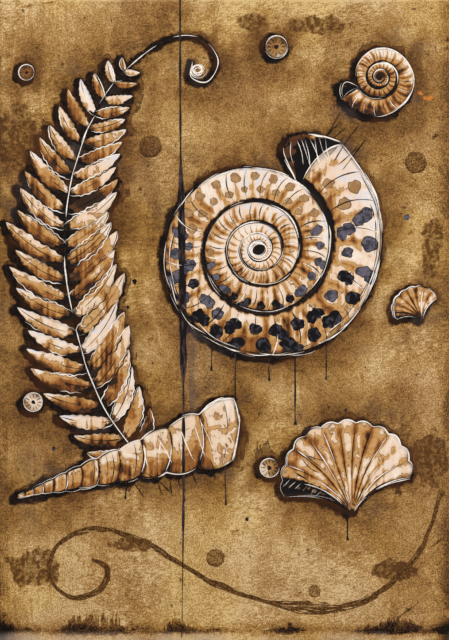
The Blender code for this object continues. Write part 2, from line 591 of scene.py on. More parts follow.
def coil_outlines(coil):
    """The back of the whorls, the last rib and the lip, as paths."""
    return [
        drawn(lambda share: coil.rib_point(coil.turns * share, 1.0), round(coil.turns * 90)),
        drawn(lambda share: coil.rib_point(0.0, share), MOUTH_STEPS_ACROSS),
        drawn(lambda share: mouth_point(coil, 1.0, share), MOUTH_STEPS_ACROSS),
    ]


# %% The long auger shell
AUGER_GROWTH = 1.16
AUGER_SLANT = 0.34
AUGER_BULGE = 0.18
AUGER_STEPS_PER_WHORL = 14
AUGER_STEPS_ACROSS = 16


class Auger:
    """A straight spired shell: an axis, a taper, and whorls that bulge."""

    def __init__(self, tip, mouth, half_width, whorls):
        self.tip, self.mouth, self.half_width, self.whorls = tip, mouth, half_width, whorls
        self.along = (mouth - tip).normalized()
        self.side = Vector((-self.along.y, self.along.x))

    def station(self, whorl):
        """How far along the axis a whorl's seam lies, as a share, with the whorls growing steadily."""
        return (AUGER_GROWTH**whorl - 1) / (AUGER_GROWTH**self.whorls - 1)

    def point(self, whorl, across):
        """whorl counts from the tip; across goes from one side, 0, to the other, 1."""
        share = self.station(whorl)
        bulge = 1 + AUGER_BULGE * math.sin(math.pi * (whorl % 1.0)) ** 0.8
        half = self.half_width * (0.05 + 0.95 * share) * bulge / (1 + AUGER_BULGE)
        off_axis = 2 * across - 1
        slant = AUGER_SLANT * half * off_axis + 0.22 * half * (1 - off_axis**2)
        return self.tip.lerp(self.mouth, share) + self.side * half * off_axis + self.along * slant

    def shade(self, across):
        return 0.5 - 0.5 * (self.side * (2 * across - 1)).dot(LIGHT)


auger = Auger(on_face(0.040, 0.225), on_face(0.520, 0.330), 0.078 * FACE_WIDTH, 12)


def auger_film(mesh_edit, shell):
    """The wash of the auger, one film from its tip to its mouth."""
    steps = shell.whorls * AUGER_STEPS_PER_WHORL
    rows = spread(lambda share, across: shell.point(shell.whorls * share, across), steps, AUGER_STEPS_ACROSS)

    def masks(i, j):
        whorl, across = i / AUGER_STEPS_PER_WHORL, j / AUGER_STEPS_ACROSS
        shade = shell.shade(across)
        seam = max(ease(whorl % 1.0, 0.22, 0.0), ease(whorl % 1.0, 0.88, 1.0))
        warm = 0.34 + 0.80 * (shade - 0.45) + 0.28 * seam + mood(rows[i][j])
        dark = 0.62 * seam + 0.85 * ease(shade, 0.66, 1.0)
        rim = max(ease(abs(2 * across - 1), 0.88, 1.0), ease(i, 2, 0), ease(steps - i, 2, 0))
        return warm, dark, rim

    lay_film(mesh_edit, rows, WASH_PROUD, masks)


def auger_outlines(shell):
    """Both long sides and the mouth, as paths."""
    steps = shell.whorls * 10
    return [
        drawn(lambda share: shell.point(shell.whorls * share, 0), steps),
        drawn(lambda share: shell.point(shell.whorls * share, 1), steps),
        drawn(lambda share: shell.point(shell.whorls, share), 10),
    ]


# %% Scallops
SCALLOP_STEPS_PER_RIB = 8
SCALLOP_STEPS_OUT = 22
HINGE_GAP = 0.06


class Scallop:
    """A fan of ribs from a hinge. Its outer edge is scalloped, one scallop to a rib."""

    def __init__(self, hinge, radius, lean, spread_angle, ribs):
        self.hinge, self.radius, self.lean = hinge, radius, lean
        self.spread_angle, self.ribs = spread_angle, ribs

    def point(self, share, out):
        """share goes from the left side of the fan, 0, to the right, 1; out goes from the hinge outwards."""
        edge = 1.0 + 0.035 * abs(math.sin(math.pi * share * self.ribs)) - 0.26 * abs(2 * share - 1) ** 2.6
        turned = (share - 0.5) * self.spread_angle
        angle = self.lean + math.radians(90) - turned * (0.55 + 0.45 * out)
        return self.hinge + toward(angle) * self.radius * out * edge

    def painted(self, share, out):
        """The same, with out counted over the painted fan, which starts a little off the hinge."""
        return self.point(share, HINGE_GAP + (1 - HINGE_GAP) * out)

    def middle(self):
        return self.point(0.5, 0.5)


large_scallop = Scallop(on_face(0.785, 0.197), 0.205 * FACE_WIDTH, math.radians(9), math.radians(132), 12)
small_scallop = Scallop(on_face(0.940, 0.500), 0.075 * FACE_WIDTH, math.radians(28), math.radians(125), 8)


def scallop_film(mesh_edit, shell):
    """The wash of a scallop, one film from its left side to its right."""
    steps = shell.ribs * SCALLOP_STEPS_PER_RIB
    rows = spread(shell.painted, steps, SCALLOP_STEPS_OUT)

    def masks(i, j):
        share, out = i / steps, j / SCALLOP_STEPS_OUT
        groove = (0.5 + 0.5 * math.cos(TURN * share * shell.ribs)) ** 2
        ring = 0.5 + 0.5 * math.cos(TURN * (out**1.4) * 3.5)
        warm = 0.27 + 0.30 * (0.5 - share) + 0.30 * groove + 0.16 * ring * out + 0.3 * ease(out, 0.45, 0.0)
        dark = 0.42 * groove * ease(share, 0.75, 0.3) + 0.5 * ease(out, 0.3, 0.0)
        dark += 0.75 * ease(share, 0.22, 0.0)
        rim = max(ease(out, 0.95, 1.0), ease(share, 0.02, 0.0), ease(share, 0.98, 1.0))
        return warm + mood(rows[i][j]), dark, rim

    lay_film(mesh_edit, rows, WASH_PROUD, masks)


def scallop_outlines(shell):
    """The scalloped edge and both sides, as paths."""
    return [
        drawn(lambda share: shell.point(share, 1.0), shell.ribs * 8),
        drawn(lambda share: shell.painted(0.0, share), 20),
        drawn(lambda share: shell.painted(1.0, share), 20),
    ]


# %% The fern
FERN_KNOTS = [(0.325, 0.270), (0.225, 0.375), (0.165, 0.50), (0.145, 0.63), (0.175, 0.76), (0.255, 0.868)]
FERN_CURL = [(0.36, 0.932), (0.445, 0.940), (0.485, 0.905), (0.462, 0.872), (0.425, 0.878), (0.428, 0.902)]
FERN_LEAFLETS = 24
LEAFLET_LENGTH = 0.130 * FACE_WIDTH
LEAFLET_HALF_WIDTH = 0.0165 * FACE_WIDTH
LEAFLET_STEPS = 24
LEAF_REACHES = (-1, -0.6, -0.2, 0.2, 0.6, 1)

fern_stem = smooth_path([on_face(*knot) for knot in FERN_KNOTS + FERN_CURL])


def leaflet(index, hand):
    """A leaflet's midrib, from the stem outwards, and its half width at each point."""
    share = (index + 0.7) / FERN_LEAFLETS
    root_index = int(share**0.92 * 0.72 * (len(fern_stem) - 1))
    root = fern_stem[root_index]
    out = sides(fern_stem)[root_index] * hand
    ahead = Vector((out.y, -out.x)) * hand
    length = LEAFLET_LENGTH * math.sin(math.pi * (0.20 + 0.76 * share)) ** 0.8
    length *= 1 + 0.14 * differing(index, 60 * MM, hand + 3)
    rib, half_widths = [], []
    for step in range(LEAFLET_STEPS + 1):
        t = step / LEAFLET_STEPS
        bend = 0.36 * t + 0.34 * t * t
        rib.append(root + (out * (t - 0.10 * t * t) + ahead * bend) * length)
        lobes = 1 + 0.26 * math.sin(math.pi * t * 7) ** 2
        taper = max(math.sin(math.pi * (0.08 + 0.92 * t)), 0.01) ** 0.7
        half_widths.append(LEAFLET_HALF_WIDTH * (length / LEAFLET_LENGTH) ** 0.7 * lobes * taper)
    return rib, half_widths


fern_leaflets = [leaflet(index, hand) for index in range(FERN_LEAFLETS) for hand in (-1, 1)]


def leaf_film(mesh_edit, rib, half_widths, seed):
    """The wash of a leaflet, with a tint of its own."""
    rows = [
        [point + side * half * reach for reach in LEAF_REACHES]
        for point, side, half in zip(rib, sides(rib), half_widths)
    ]
    leaf_mood = 0.34 * differing(seed, 70 * MM, 5)

    def masks(i, j):
        t, reach = i / LEAFLET_STEPS, LEAF_REACHES[j]
        facing = sides(rib)[i].dot(LIGHT) * reach
        warm = 0.52 - 0.26 * facing + leaf_mood - 0.30 * ease(t, 0.5, 1.0)
        dark = 0.70 * ease(t, 0.30, 0.0) + 0.50 * ease(facing, -0.1, -0.7) + 0.3 * leaf_mood
        rim = 0.6 * ease(abs(reach), 0.7, 1.0)
        return warm, dark, rim

    lay_film(mesh_edit, rows, FERN_WASH_PROUD, masks)


def leaf_outlines(rib, half_widths):
    """Both edges of a leaflet, as paths."""
    left = sides(rib)
    return [
        even_path([point + side * half * hand for point, side, half in zip(rib, left, half_widths)])
        for hand in (-1, 1)
    ]


# %% Round blots and stem discs
DISC_STEPS = 10

# across, up and radius of each stem disc, as shares of the face's width, height and width
STEM_DISCS = [(0.075, 0.372, 0.021), (0.615, 0.925, 0.025), (0.600, 0.270, 0.022), (0.060, 0.885, 0.018)]


def disc_film(mesh_edit, centre, radius, tall, proud, seed, uneven, warm, dark):
    """A round film made from a grid: a square's points drawn in to a disc, then made uneven."""
    rows, rims = [], []
    for i in range(DISC_STEPS + 1):
        row, rim_row = [], []
        for j in range(DISC_STEPS + 1):
            up, right = 2 * i / DISC_STEPS - 1, 2 * j / DISC_STEPS - 1
            flat = Vector((right * math.sqrt(1 - up * up / 2), up * math.sqrt(1 - right * right / 2)))
            ahead = flat.normalized() * 1.4
            swell = 1 + uneven * noise.noise(Vector((ahead.x, ahead.y, seed * 3.17)))
            row.append(centre + Vector((flat.x, flat.y * tall)) * radius * swell)
            rim_row.append(flat.length)
        rows.append(row)
        rims.append(rim_row)
    lay_film(mesh_edit, rows, proud, lambda i, j: (warm, dark, rims[i][j]))


def ring_path(centre, radius):
    count = max(10, round(TURN * radius / PATH_SPACING))
    return [centre + radius * toward(TURN * step / count) for step in range(count + 1)]


stem_discs = [(on_face(across, up), radius * FACE_WIDTH) for across, up, radius in STEM_DISCS]

# %% Gather the outlines
coil_paths = [path for coil in (great_coil, small_coil) for path in coil_outlines(coil)]
auger_paths = auger_outlines(auger)
scallop_paths = scallop_outlines(large_scallop) + scallop_outlines(small_scallop)
leaf_paths = [path for rib, half_widths in fern_leaflets for path in leaf_outlines(rib, half_widths)]
disc_paths = [ring_path(centre, radius) for centre, radius in stem_discs]
all_outlines = coil_paths + auger_paths + scallop_paths + leaf_paths + disc_paths + [fern_stem]
print(f"{len(all_outlines)} outlines, {sum(map(len, all_outlines))} points")

# %% [markdown]
# ## The bronze ground
# The ground is a film over the whole face, rubbed with bronze paint over dark umber. It is darkest
# close to the drawing, where washes have bled out, and it has stains and darker edges. A tree of the
# outlines' points gives each vertex its distance to the drawing, and it keeps its distance to the
# round drops and rubbed patches too. Its border laps over the panel's edges, as a thick coat does.

# %% Stains, haze and the mesh of the ground
GROUND_STEP = 1.5 * MM
GROUND_RELIEF = 0.035 * MM
SHADOW_SHIFT = Vector((-2.0 * MM, -1.3 * MM))
SHADOW_REACH = 4.0 * MM
NEAR_HAZE = 8 * MM
WIDE_HAZE = 25 * MM
GROUND_MASKS = ("near_haze", "wide_haze", "shadow", "drop", "drop_low", "patch")

# across, up, radius and flatness of each round drop
DROPS = [
    (0.335, 0.770, 0.025, 1.0),
    (0.925, 0.745, 0.024, 1.0),
    (0.480, 0.130, 0.020, 1.0),
    (0.055, 0.555, 0.017, 1.0),
    (0.700, 0.078, 0.014, 1.0),
]
# across, up, radius and flatness of each rubbed patch
PATCHES = [
    (0.080, 0.110, 0.055, 0.8),
    (0.955, 0.285, 0.045, 1.5),
    (0.700, 0.960, 0.060, 0.35),
    (0.050, 0.780, 0.050, 1.3),
    (0.960, 0.620, 0.026, 2.2),
    (0.300, 0.150, 0.050, 0.35),
    (0.560, 0.965, 0.035, 0.5),
    (0.870, 0.110, 0.050, 0.4),
]


def spot_distance(point, spots):
    """How far outside the nearest spot a point lies, in radii (below 0 inside), and how low in the spot."""
    nearest, low = 2.0, 0.0
    for across, up, radius, flatness in spots:
        away = (point - on_face(across, up)) / (radius * FACE_WIDTH)
        reach = math.hypot(away.x, away.y / flatness) - 1.0
        if reach < nearest:
            nearest, low = reach, -away.y / flatness
    return nearest, low


def outline_tree(paths):
    """A tree of the paths' points, which finds the nearest one to any place."""
    points = [point for path in paths for point in path]
    tree = kdtree.KDTree(len(points))
    for index, point in enumerate(points):
        tree.insert((point.x, point.y, 0), index)
    tree.balance()
    return tree


def ground_film():
    """The ground's front, a little uneven, with its masks."""
    mesh_edit = bmesh.new()
    layers = [mesh_edit.verts.layers.float.new(mask) for mask in GROUND_MASKS]
    columns, rows = round(FACE_WIDTH / GROUND_STEP), round(FACE_HEIGHT / GROUND_STEP)
    bmesh.ops.create_grid(mesh_edit, x_segments=columns, y_segments=rows, size=0.5)
    tree = outline_tree(all_outlines)
    for vert in mesh_edit.verts:
        point = on_face(vert.co.x + 0.5, vert.co.y + 0.5)
        reach = tree.find((point.x, point.y, 0))[2]
        cast_from = point - SHADOW_SHIFT
        shadow_reach = tree.find((cast_from.x, cast_from.y, 0))[2]
        near_haze = math.exp(-((reach / NEAR_HAZE) ** 1.3))
        wide_haze = math.exp(-((reach / WIDE_HAZE) ** 2))
        shadow = math.exp(-((shadow_reach / SHADOW_REACH) ** 2))
        drop, drop_low = spot_distance(point, DROPS)
        patch = spot_distance(point, PATCHES)[0]
        for layer, value in zip(layers, (near_haze, wide_haze, shadow, drop, drop_low, patch)):
            vert[layer] = value
        swell = noise.noise(Vector((point.x / (4 * MM), point.y / (20 * MM), 1.3)))
        vert.co = lift(point, GROUND_PROUD + GROUND_RELIEF * swell)
    return mesh_edit


WRAP_OUT = 0.15 * MM
WRAP_BACK = 1.7 * MM
WRAP_IN = 0.6 * MM
SIDE_BAND = 0.7 * MM


def side_of(offset, half_size):
    """1 or -1 on the border's two sides, and 0 between them."""
    return math.copysign(1, offset) if abs(offset) > half_size - SIDE_BAND else 0


def wrap_over_edges(mesh_edit):
    """Folds the film's border over the panel's edges, then closes it inside the plywood."""
    for out, back in ((WRAP_OUT, 2 * WRAP_OUT), (0.0, WRAP_BACK), (-WRAP_IN, 0.0)):
        border = [edge for edge in mesh_edit.edges if edge.is_boundary]
        grown = bmesh.ops.extrude_edge_only(mesh_edit, edges=border)
        for vert in (item for item in grown["geom"] if isinstance(item, bmesh.types.BMVert)):
            ragged = 1 + 0.8 * noise.noise(vert.co * 180) if back == WRAP_BACK else 1.0
            across = side_of(vert.co.x - face_centre.x, FACE_WIDTH / 2)
            up = side_of(vert.co.z - face_centre.y, FACE_HEIGHT / 2)
            vert.co += Vector((across * out, back * ragged, up * out))
    border = [edge for edge in mesh_edit.edges if edge.is_boundary]
    bmesh.ops.edgeloop_fill(mesh_edit, edges=border)
    bmesh.ops.recalc_face_normals(mesh_edit, faces=mesh_edit.faces)


# %% [markdown]
# ## The ground's surface
# Real bronze paint is metal powder in varnish, rubbed thin until the umber shows through. A picture
# of it would blur close up, so the surface is a sum instead. Each mark moves one tone up or down a
# scale of bronzes, and then come the few marks with a colour of their own. The masks say where a mark
# lies, and noise gives it a crisp, broken edge.

# %% The ground's tones, noises and masks
BRONZE_TONES = [
    (0.00, (0.004, 0.002, 0.001)),
    (0.14, (0.018, 0.008, 0.004)),
    (0.30, (0.075, 0.033, 0.010)),
    (0.46, (0.175, 0.080, 0.020)),
    (0.60, (0.295, 0.149, 0.040)),
    (0.74, (0.400, 0.229, 0.076)),
    (0.88, (0.520, 0.335, 0.140)),
    (1.00, (0.680, 0.482, 0.250)),
]
BRONZE_MIDDLE = 0.81
VEIL_MIDDLE = 0.385


class Ground(Recipe):
    """The ground's recipe, with what its marks share. A tone is a place from 0 to 1 in BRONZE_TONES."""

    def __init__(self):
        super().__init__("bronze_ground")
        where = self.where = self.place()
        self.x, self.z = self.part(where, "X"), self.part(where, "Z")
        self.near_haze, wide_haze, shadow, drop, self.drop_low, patch = map(self.mask, GROUND_MASKS)

        self.clouds = self.noise(where, 70 * MM, detail=3)
        self.worn = self.noise(where, 26 * MM, (1, 1, 1.5), detail=4, distortion=0.5)
        self.mottle = self.noise(where, 8 * MM, detail=3)
        self.grit = self.noise(where, 2.6 * MM, detail=2)
        self.speckle = self.noise(where, 1.05 * MM, detail=1)
        self.dashes = self.noise(self.turned(where, 8), 1 * MM, (3.6, 1, 1), detail=1)
        self.upright = self.noise(where, 2.2 * MM, (1, 1, 22), detail=3)
        self.drifts = self.noise(where, 34 * MM, detail=2)

        self.drop_edge = self.stir(drop, (self.grit, 0.16), (self.mottle, 0.12))
        self.in_drop = self.between(self.drop_edge, 0.07, -0.07)
        self.patch_edge = self.stir(patch, (self.worn, 1.6), (self.mottle, 1.1))

        wide = self.between(self.swing(self.clouds, self.worn, 0.9), 0.70, 0.38, 0.24, 0.95)
        near = self.between(self.swing(self.worn, self.upright, 0.7), 0.30, 0.70, 1.15, 0.55)
        self.veil = self.most(self.times(wide_haze, wide), self.times(self.near_haze, near))
        torn = self.stir(shadow, (self.mottle, 1.6), (self.worn, 1.4), (self.upright, 0.5))
        self.black_wash = self.between(torn, 0.26, 0.84)


# %% Bronze, drops, rubbed patches and scratches
SCORE_UP = 0.372


def rubbed_bronze(r):
    """The open ground: several sizes of grain, upright brush marks at the left, and a few faint plates."""
    tone = r.stir(BRONZE_MIDDLE, (r.clouds, 0.40), (r.worn, 0.38), (r.mottle, 0.27))
    tone = r.stir(tone, (r.grit, 0.20), (r.speckle, 1.00))
    tone = r.swing(tone, r.dashes, r.between(r.clouds, 0.40, 0.60, 0.0, 0.70))
    at_left = r.between(r.x, FACE_LEFT + 95 * MM, FACE_LEFT, 0.10, 0.75)
    tone = r.swing(tone, r.upright, r.times(at_left, r.between(r.worn, 0.35, 0.6)))
    plates = r.noise(r.where, 48 * MM, (1, 1, 1.3), detail=0)
    tone = r.plus(tone, r.between(plates, 0.555, 0.563, 0.0, 0.07))
    return r.minus(tone, r.between(plates, 0.442, 0.430, 0.0, 0.10))


def stained(r, tone):
    """Round drops, darkest at the foot of their rims, and patches rubbed through to the umber."""
    on_rim = r.times(r.between(r.drop_edge, -0.34, -0.06), r.between(r.drop_edge, 0.06, 0.0))
    tone = r.minus(tone, r.times(r.in_drop, r.between(r.speckle, 0.40, 0.60, 0.30, 0.17)))
    tone = r.minus(tone, r.times(on_rim, r.between(r.drop_low, -0.3, 0.8, 0.04, 0.24)))
    in_patch = r.between(r.patch_edge, 0.10, -0.10)
    return r.minus(tone, r.times(in_patch, r.between(r.grit, 0.34, 0.62, 0.32, 0.14)))


def scratched(r, tone):
    """Thin scratches, pale and dark, and one pale line scored from side to side."""
    pale = r.thread(r.noise(r.turned(r.where, 24), 60 * MM, (1, 1, 7), detail=1), 0.0045)
    dark = r.thread(r.noise(r.turned(r.where, -71), 75 * MM, (1, 1, 6), detail=1), 0.0040)
    tone = r.plus(tone, r.times(pale, r.between(r.mottle, 0.50, 0.62, 0.0, 0.16)))
    tone = r.minus(tone, r.times(dark, r.between(r.worn, 0.50, 0.60, 0.0, 0.26)))
    off_line = r.gap(r.swing(r.z, r.clouds, 1.2 * MM), on_face(0, SCORE_UP).y)
    scored = r.times(r.between(off_line, 0.45 * MM, 0.15 * MM), r.between(r.mottle, 0.44, 0.56))
    return r.shift(tone, scored, 0.13)


# %% [markdown]
# ## Edges
# The ground is darker towards its sides and lower corners, with a pale strip along the top. Along the foot
# the varnish gathered in a dark band, frayed where the brush dragged it. It is a stain with no thickness
# of its own, so it is part of the surface and not a film.

# %% Sides, foot and corners
def darker_sides_pale_top(r, tone):
    """Darker sides, and a pale strip along the top."""
    left = r.between(r.swing(r.x, r.mottle, 14 * MM), FACE_LEFT + 9 * MM, FACE_LEFT - 2 * MM)
    right = r.between(r.swing(r.x, r.mottle, 16 * MM), FACE_RIGHT - 13 * MM, FACE_RIGHT + 1 * MM)
    top = r.between(r.z, FACE_TOP - 3.0 * MM, FACE_TOP - 1.2 * MM)
    return r.shift(r.shift(r.shift(tone, left, -0.22), right, -0.28), top, 0.14)


def frayed_foot(r, tone):
    """A dark band along the foot, frayed like grass in places and soft between, over a pale strip."""
    stretches = r.noise(r.where, 45 * MM, (1, 1, 8), detail=1)
    grass = r.times(r.between(stretches, 0.47, 0.60), r.between(r.upright, 0.36, 0.60, 0.35, 1.0))
    crest = r.shift(FACE_BOTTOM + 9 * MM, grass, 13 * MM)
    sagging = r.stir(r.z, (stretches, 9 * MM), (r.mottle, 7 * MM))
    above = r.minus(sagging, crest)
    below = r.minus(sagging, FACE_BOTTOM + 6 * MM)
    band = r.times(r.between(above, 1.2 * MM, -1.2 * MM), r.between(below, -1.0 * MM, 1.5 * MM))
    tone = r.shift(tone, r.times(band, r.between(stretches, 0.40, 0.56, 0.08, 1.0)), -0.40)
    soft_band = r.between(r.gap(sagging, FACE_BOTTOM + 9 * MM), 7.5 * MM, 0.5 * MM)
    tone = r.shift(tone, r.times(soft_band, r.between(stretches, 0.34, 0.52, 0.45, 1.0)), -0.25)
    return r.shift(tone, r.between(below, 0.0, -1.5 * MM), 0.10)


def dark_corners(r, tone):
    """Darker towards the lower corners."""
    outward = r.swing(r.gap(r.x, face_centre.x), r.mottle, 12 * MM)
    near_side = r.between(outward, FACE_WIDTH / 2 - 22 * MM, FACE_WIDTH / 2 - 4 * MM)
    near_foot = r.between(r.z, FACE_BOTTOM + 26 * MM, FACE_BOTTOM + 5 * MM)
    return r.shift(tone, r.times(near_side, near_foot), -0.55)


# %% [markdown]
# ## Stains round the drawing
# The washes bled out of the drawing and soaked into the ground. They left a brown veil, a torn black
# wash on the shade side, rust, slate and a dried line. All of these follow the distance to the drawing,
# so they would keep to it if a shell moved. The smear beside the long run, the flicked specks and the
# pale foot have places of their own.

# %% The veil, and colour
SMEAR_TOP, SMEAR_FOOT = on_face(0, 0.520).y, on_face(0, 0.225).y
RUN_ACROSS = 0.405


def veiled(r, tone):
    """A thin brown veil round the drawing, which only darkens, and the torn black wash in its shadow."""
    veil_tone = r.stir(VEIL_MIDDLE, (r.speckle, 0.42), (r.grit, 0.30), (r.mottle, 0.25), (r.dashes, 0.25))
    darker = r.calc("MINIMUM", r.minus(veil_tone, tone), 0.0)
    return r.shift(r.shift(tone, darker, r.veil), r.black_wash, -0.58)


def bronze_colour(r, tone):
    """Bronze, yellower in one place and greyer in the next, with rust in the patches and drops."""
    colour = r.ramp(tone, BRONZE_TONES)
    warmth = r.noise(r.where, 55 * MM, detail=2)
    colour = r.mix(r.between(warmth, 0.50, 0.64), colour, (1.0, 0.985, 0.84), "MULTIPLY")
    colour = r.mix(r.between(warmth, 0.46, 0.34), colour, (0.95, 0.935, 1.0), "MULTIPLY")
    in_patch = r.times(r.between(r.patch_edge, 0.10, -0.12), r.between(r.grit, 0.36, 0.60, 0.85, 0.30))
    in_drop = r.times(r.in_drop, r.between(r.speckle, 0.40, 0.60, 0.62, 0.34))
    return r.mix(r.most(in_patch, in_drop), colour, (0.088, 0.034, 0.008))


def smeared(r, colour):
    """A grey smear beside the dark run, dragged downwards and torn at its sides."""
    beside = r.stir(r.x, (r.mottle, 8 * MM), (r.worn, 14 * MM))
    off_middle = r.gap(beside, on_face(RUN_ACROSS, 0).x + 8 * MM)
    smear = r.times(r.between(off_middle, 7.5 * MM, 0.5 * MM), r.between(r.upright, 0.36, 0.64, 0.0, 0.58))
    below_top = r.between(r.z, SMEAR_TOP, SMEAR_TOP - 20 * MM)
    above_foot = r.between(r.z, SMEAR_FOOT, SMEAR_FOOT + 30 * MM)
    return r.mix(r.times(smear, r.times(below_top, above_foot)), colour, (0.080, 0.058, 0.058))


def drifted(r, colour):
    """Slate and rust that drifted out of the washes."""
    slate = r.times(r.veil, r.between(r.drifts, 0.52, 0.68, 0.0, 0.45))
    rust = r.times(r.near_haze, r.between(r.drifts, 0.50, 0.36, 0.0, 0.60))
    return r.mix(rust, r.mix(slate, colour, (0.070, 0.050, 0.045)), (0.085, 0.027, 0.007))


def spilled(r, colour):
    """A brown wash that spilled past the drawing and dried with a dark line. Black wash hides it."""
    reach = r.stir(r.near_haze, (r.worn, 2.4), (r.upright, 0.55), (r.grit, 0.16))
    spill = r.times(r.between(reach, 0.80, 0.84, 0.0, 0.62), r.minus(1.0, r.black_wash))
    line = r.times(r.between(reach, 0.79, 0.83), r.between(reach, 0.95, 0.86))
    colour = r.mix(spill, colour, (0.090, 0.034, 0.008))
    return r.mix(r.times(line, 0.60), colour, (0.030, 0.011, 0.004))


def flicked(r, colour):
    """Dark specks flicked off a brush."""
    specks = r.between(r.noise(r.where, 3.6 * MM, detail=0), 0.825, 0.85)
    return r.mix(r.times(specks, 0.7), colour, (0.022, 0.011, 0.005))


def pale_foot(r, colour):
    """Pale paint along the foot, in stretches."""
    foot = r.between(r.z, FACE_BOTTOM + 9 * MM, FACE_BOTTOM + 2 * MM)
    foot = r.times(foot, r.between(r.drifts, 0.42, 0.66))
    return r.mix(r.times(foot, 0.55), colour, (0.43, 0.33, 0.26))


# %% Lay the ground
def bronze_ground():
    """The whole surface: the marks that move the tone, then the marks with a colour."""
    r = Ground()
    tone = rubbed_bronze(r)
    for mark in (stained, scratched, darker_sides_pale_top, frayed_foot, dark_corners, veiled):
        tone = mark(r, tone)
    colour = bronze_colour(r, tone)
    for mark in (smeared, drifted, spilled, flicked, pale_foot):
        colour = mark(r, colour)
    roughness = r.between(tone, 0.2, 0.9, 0.60, 0.42)
    metallic = r.between(tone, 0.45, 0.9, 0.0, 0.22)
    r.bump(r.plus(r.times(r.speckle, 0.6), r.upright), 0.12 * MM, 0.5)
    return r.finish(colour, roughness, metallic, specular=0.08)


ground_mesh = ground_film()
wrap_over_edges(ground_mesh)
finish_piece("bronze_ground", ground_mesh, bronze_ground())

# %% [markdown]
# ## Washes
# Cream paint fills each fossil, and thin tan and burnt orange washes run over it and dry with a
# dark line at their edge. The films carry masks: how warm, how dark and how near its rim a point is.
# The material adds noise to a mask before it cuts it off, which makes the torn edge of a puddle.
# Streaks that only run down make the drips.

# %% The material of the washes
TAN_FROM, ORANGE_FROM, BROWN_FROM = 0.34, 0.55, 0.74
WASH_EDGE = 0.022


def drying_line(r, value, edge):
    """The dark line that a wash leaves where it stopped."""
    inner = r.between(value, edge - 0.5 * WASH_EDGE, edge + 0.5 * WASH_EDGE)
    outer = r.between(value, edge + 3.2 * WASH_EDGE, edge + 1.2 * WASH_EDGE)
    return r.times(inner, outer)


def wash_material():
    r = Recipe("shell_wash")
    where = r.place()
    warm, dark, rim = map(r.mask, MASKS)
    pools = r.noise(where, 19 * MM, detail=2, distortion=1.2)
    puddles = r.noise(where, 5.8 * MM, detail=2, distortion=1.0)
    drips = r.noise(where, 3 * MM, (1, 1, 15), detail=1)
    grain = r.noise(where, 1.3 * MM, detail=1)
    clouds = r.noise(where, 34 * MM, detail=2)

    streaks = r.between(clouds, 0.42, 0.60, 0.14, 0.85)
    wet = r.stir(warm, (pools, 0.95), (puddles, 0.30), (drips, streaks))

    cream = r.mix(r.between(clouds, 0.38, 0.62), (0.86, 0.73, 0.61), (0.80, 0.59, 0.43))
    cream = r.mix(r.between(wet, 0.06, TAN_FROM, 0.0, 0.75), cream, (0.70, 0.480, 0.30))
    cool = r.times(r.between(wet, 0.12, 0.02), r.between(puddles, 0.46, 0.60, 0.2, 0.9))
    cream = r.mix(cool, cream, (0.64, 0.64, 0.70))
    cream = r.mix(r.between(grain, 0.40, 0.75, 0.0, 0.22), cream, (0.62, 0.47, 0.35))
    tan = r.mix(r.between(wet, TAN_FROM, ORANGE_FROM), (0.60, 0.365, 0.150), (0.45, 0.210, 0.058))
    orange = r.mix(r.between(wet, ORANGE_FROM, BROWN_FROM), (0.45, 0.178, 0.034), (0.17, 0.055, 0.012))
    orange = r.mix(r.between(drips, 0.42, 0.60, 0.0, 0.6), orange, (0.17, 0.058, 0.014))
    brown = r.mix(r.between(pools, 0.40, 0.60), (0.110, 0.040, 0.012), (0.030, 0.014, 0.007))
    colour = r.mix(r.between(wet, TAN_FROM, TAN_FROM + WASH_EDGE), cream, tan)
    colour = r.mix(r.between(wet, ORANGE_FROM, ORANGE_FROM + 2 * WASH_EDGE), colour, orange)
    colour = r.mix(r.between(wet, BROWN_FROM, BROWN_FROM + 2 * WASH_EDGE), colour, brown)
    lines = r.most(drying_line(r, wet, TAN_FROM), drying_line(r, wet, ORANGE_FROM))
    colour = r.mix(r.times(lines, r.between(grain, 0.3, 0.6, 0.35, 0.8)), colour, (0.20, 0.080, 0.026))

    shadow = r.stir(dark, (puddles, 0.62), (drips, 0.35), (pools, 0.45))
    colour = r.mix(r.between(shadow, 0.46, 0.52, 0.0, 0.85), colour, (0.080, 0.030, 0.010))
    colour = r.mix(r.between(shadow, 0.60, 0.66), colour, (0.004, 0.003, 0.003))
    colour = r.mix(r.times(rim, r.between(pools, 0.35, 0.6, 0.2, 0.9)), colour, (0.030, 0.014, 0.007))
    roughness = r.between(pools, 0.3, 0.7, 0.34, 0.52)
    r.bump(r.plus(wet, r.times(grain, 0.4)), 0.10 * MM, 0.45)
    return r.finish(colour, roughness, specular=0.12)


# %% Lay the washes
def lay_coil(films, coil, warmth, seed):
    """A coil's wash, its mouth, and a dark pit in its middle."""
    coil_film(films, coil, warmth)
    mouth_film(films, coil)
    pit = coil.radius * coil.growth**-coil.turns
    disc_film(films, coil.centre, pit, 1.0, WASH_PROUD - FILM_CROWN, seed, 0.1, 1.0, 1.2)


def lay_fern(films):
    for seed, (rib, half_widths) in enumerate(fern_leaflets):
        leaf_film(films, rib, half_widths, seed)


def lay_stem_discs(films):
    """Each disc has a small dark hole in its middle."""
    for seed, (centre, radius) in enumerate(stem_discs):
        disc_film(films, centre, radius, 1.0, WASH_PROUD, seed + 5, 0.08, 0.36 + mood(centre), 0.1)
        disc_film(films, centre, 0.22 * radius, 1.0, WASH_PROUD + FILM_CROWN, seed + 9, 0.5, 1.0, 1.2)


